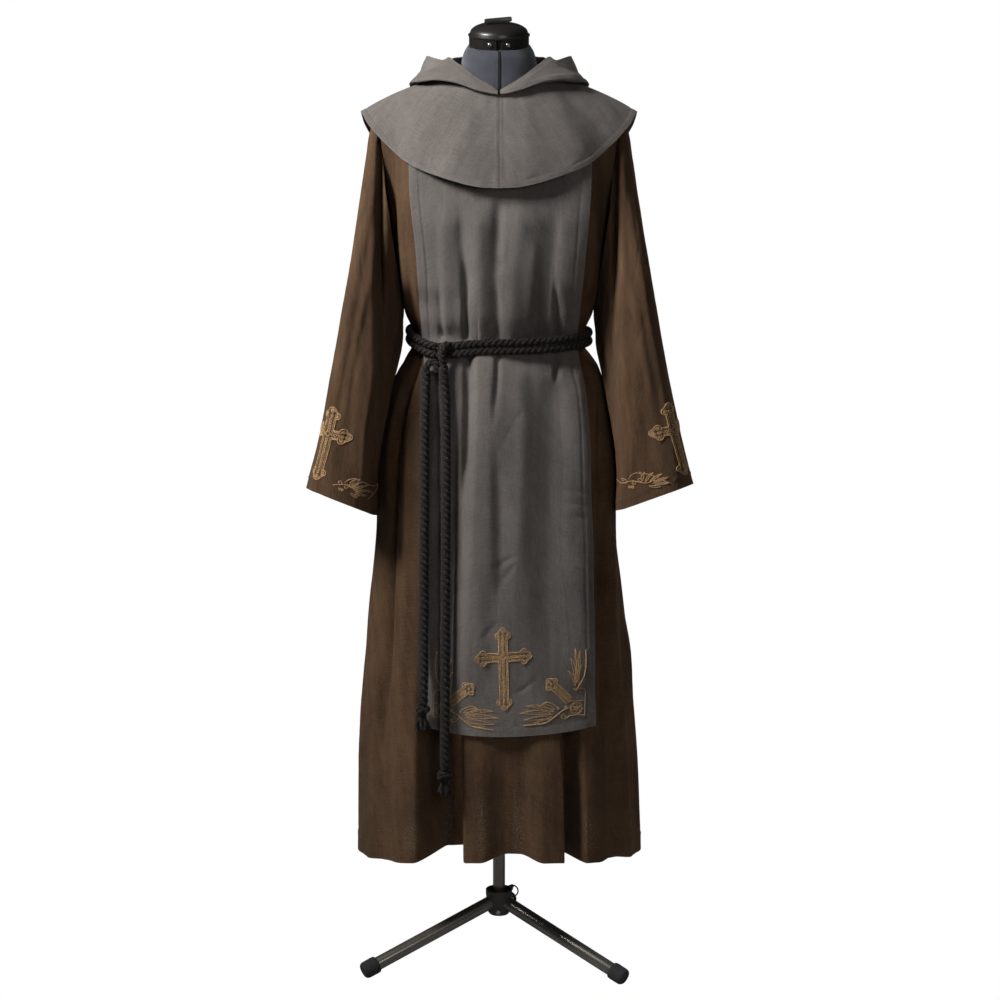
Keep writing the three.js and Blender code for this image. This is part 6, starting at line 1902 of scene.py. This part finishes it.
def embroider(name, ground, find, threads):
    # find turns flat places into rows and columns of the ground
    look, parts = embroideryLook, []
    for line, radius in threads:
        rows, cols = find(line[:, 0], line[:, 1])
        wobble = look["wobble"] * np.sin(np.arange(len(line)) * 1.9 + len(line))
        path = ground.lift(rows, cols, radius * look["lift"] + wobble)
        normal = ground.sample(ground.normals, rows[:1], cols[:1])[0]
        thick = radius * (1 + look["uneven"] * np.sin(np.arange(len(path)) * 2.6))
        thick[[0, -1]] *= look["endSize"]
        parts.append(tube(path, thick, look["sides"], normal))
    points, faces = joinParts(parts)
    makePiece("embroidery." + name, points, faces, goldThread, sharp=75)


def scapularFinder(cx, cz, mirror, lean):
    x, z = scapularGround.points[..., 0], scapularGround.points[..., 2]
    a = math.radians(lean)
    return lambda u, v: scapularGround.find(cx + mirror * (u * math.cos(a) - v * math.sin(a)),
                                            cz + u * math.sin(a) + v * math.cos(a), x, z)


def sleeveFinder(side, fromEdge, height, slope, tuck=10.0):
    # a is measured from the sleeve's outer line as seen from the front, b up along that line;
    # nearer the line than tuck, a follows the cloth itself, so that a cross goes on round the arm
    ground = sleeveGrounds[side]
    points = ground.points if side == "left" else ground.points[:, ::-1]
    half = ground.cols // 2
    shown, laid = runAlong(points[..., :1])[:, :half], runAlong(points)
    turnAt = np.array([np.interp(tuck, shown[i], laid[i, :half]) for i in range(ground.rows)])[:, None]
    front = np.where(shown > tuck, shown, tuck + laid[:, :half] - turnAt)
    back = tuck + laid[:, half:-1] - laid[:, -1:] - turnAt
    # the columns behind the outer line come first
    order = np.concatenate([np.arange(half, ground.cols - 1), np.arange(0, half)])
    signed = np.concatenate([back, front], 1)
    field = Ground(points[:, order], None, None)

    def find(a, b):
        row, col = field.find(fromEdge + a, height + 0.975 * b - slope * a, signed, points[:, order, 2])
        col = col + half
        col = np.where(col > ground.cols - 1, col - (ground.cols - 1), col)
        return row, col if side == "left" else ground.cols - 1 - col

    return find


scapularCross = buddedCross(51, 92, 49, 7.4, 5.2)
embroider("scapular.cross", scapularGround, scapularFinder(7.5, 599, 1, lean=1.5), scapularCross)
embroider("scapular.right", scapularGround, scapularFinder(147, 493, -1, lean=2.0), cornerSpray())
embroider("scapular.left", scapularGround, scapularFinder(-112, 493, 1, lean=-2.0), cornerSpray())
left, right = sleeveGrounds["left"], sleeveGrounds["right"]
leftCross, rightCross = buddedCross(46, 81, 35, 7.0, 5.2), buddedCross(47, 80, 37, 7.0, 5.2)
embroider("sleeve.left.cross", left, sleeveFinder("left", 16, 987, 0.2), leftCross)
embroider("sleeve.right.cross", right, sleeveFinder("right", 12, 993, 0.15, tuck=9.0), rightCross)
embroider("sleeve.left.vine", left, sleeveFinder("left", 44, 895, 0.3), cuffVine(58))
rightVine = [(line * (-1, 1) + (80, 0), radius) for line, radius in cuffVine(78)]
embroider("sleeve.right.vine", right, sleeveFinder("right", 35, 906, 0.2), rightVine)
print("embroidery made")


# floor, light and ending
stageLook = {"sky": 0.035}


def paleFloor():
    # a pale floor that lights nothing and shows white, as a swept studio floor does
    n = Finish("floor")
    soft = n.noise(n.objectPlace(), 1.5, 3.0)
    n.surface(Base_Color=n.blend(soft, dye(150, 150, 150), dye(158, 158, 158)), Roughness=0.9)
    seen = n.add("ShaderNodeLightPath", None, None, "Is Camera Ray")
    white = n.add("ShaderNodeEmission", None, [(1.0, 1.0, 1.0, 1.0), 1.0])
    out = n.tree.nodes["Material Output"]
    shown = n.add("ShaderNodeMixShader", None, [seen, Wire(n, n.shader.outputs[0]), white])
    n.feed(out.inputs["Surface"], shown)
    return n.material


floorMesh = bpy.data.meshes.new("floor")
floorMesh.from_pydata([(-6, -6, 0), (6, -6, 0), (6, 6, 0), (-6, 6, 0)], [], [(0, 1, 2, 3)])
floorMesh.materials.append(paleFloor())
floor = bpy.data.objects.new("floor", floorMesh)
scene.collection.objects.link(floor)

world = bpy.data.worlds.new("studio")
world.use_nodes = True
scene.world = world
tree = world.node_tree
ambient, backdrop = tree.nodes["Background"], tree.nodes.new("ShaderNodeBackground")
for node, power in ((ambient, stageLook["sky"]), (backdrop, 1.0)):
    node.inputs[0].default_value = (1.0, 1.0, 1.0, 1.0)
    node.inputs[1].default_value = power
# the camera sees a white backdrop, which lights nothing
seen = tree.nodes.new("ShaderNodeLightPath")
shown = tree.nodes.new("ShaderNodeMixShader")
tree.links.new(seen.outputs["Is Camera Ray"], shown.inputs[0])
tree.links.new(ambient.outputs[0], shown.inputs[1])
tree.links.new(backdrop.outputs[0], shown.inputs[2])
tree.links.new(shown.outputs[0], tree.nodes["World Output"].inputs[0])

lights = {  # place, what it points at, size, power and how wide it throws its light, in degrees
    "key": {"at": (-1.8, -1.1, 2.85), "to": (-0.05, -0.05, 1.5), "size": 0.9, "power": 31, "spread": 95},
    "fill": {"at": (0.95, -3.9, 2.2), "to": (0.0, -0.05, 1.0), "size": 1.5, "power": 20, "spread": 180},
    "rim": {"at": (1.6, 2.8, 2.6), "to": (0.0, 0.0, 1.2), "size": 1.2, "power": 55, "spread": 180},
}
for name, look in lights.items():
    data = bpy.data.lights.new(name, "AREA")
    data.shape = "DISK"
    data.size = look["size"]
    data.energy = look["power"]
    data.spread = math.radians(look["spread"])
    light = bpy.data.objects.new(name, data)
    light.location = look["at"]
    aim = Vector(look["to"]) - Vector(look["at"])
    light.rotation_euler = aim.to_track_quat("-Z", "Y").to_euler()
    light.visible_glossy = name != "rim"  # it would burn out the edge of the cap
    scene.collection.objects.link(light)
scene.view_settings.view_transform = "Standard"
print("floor and lights made")
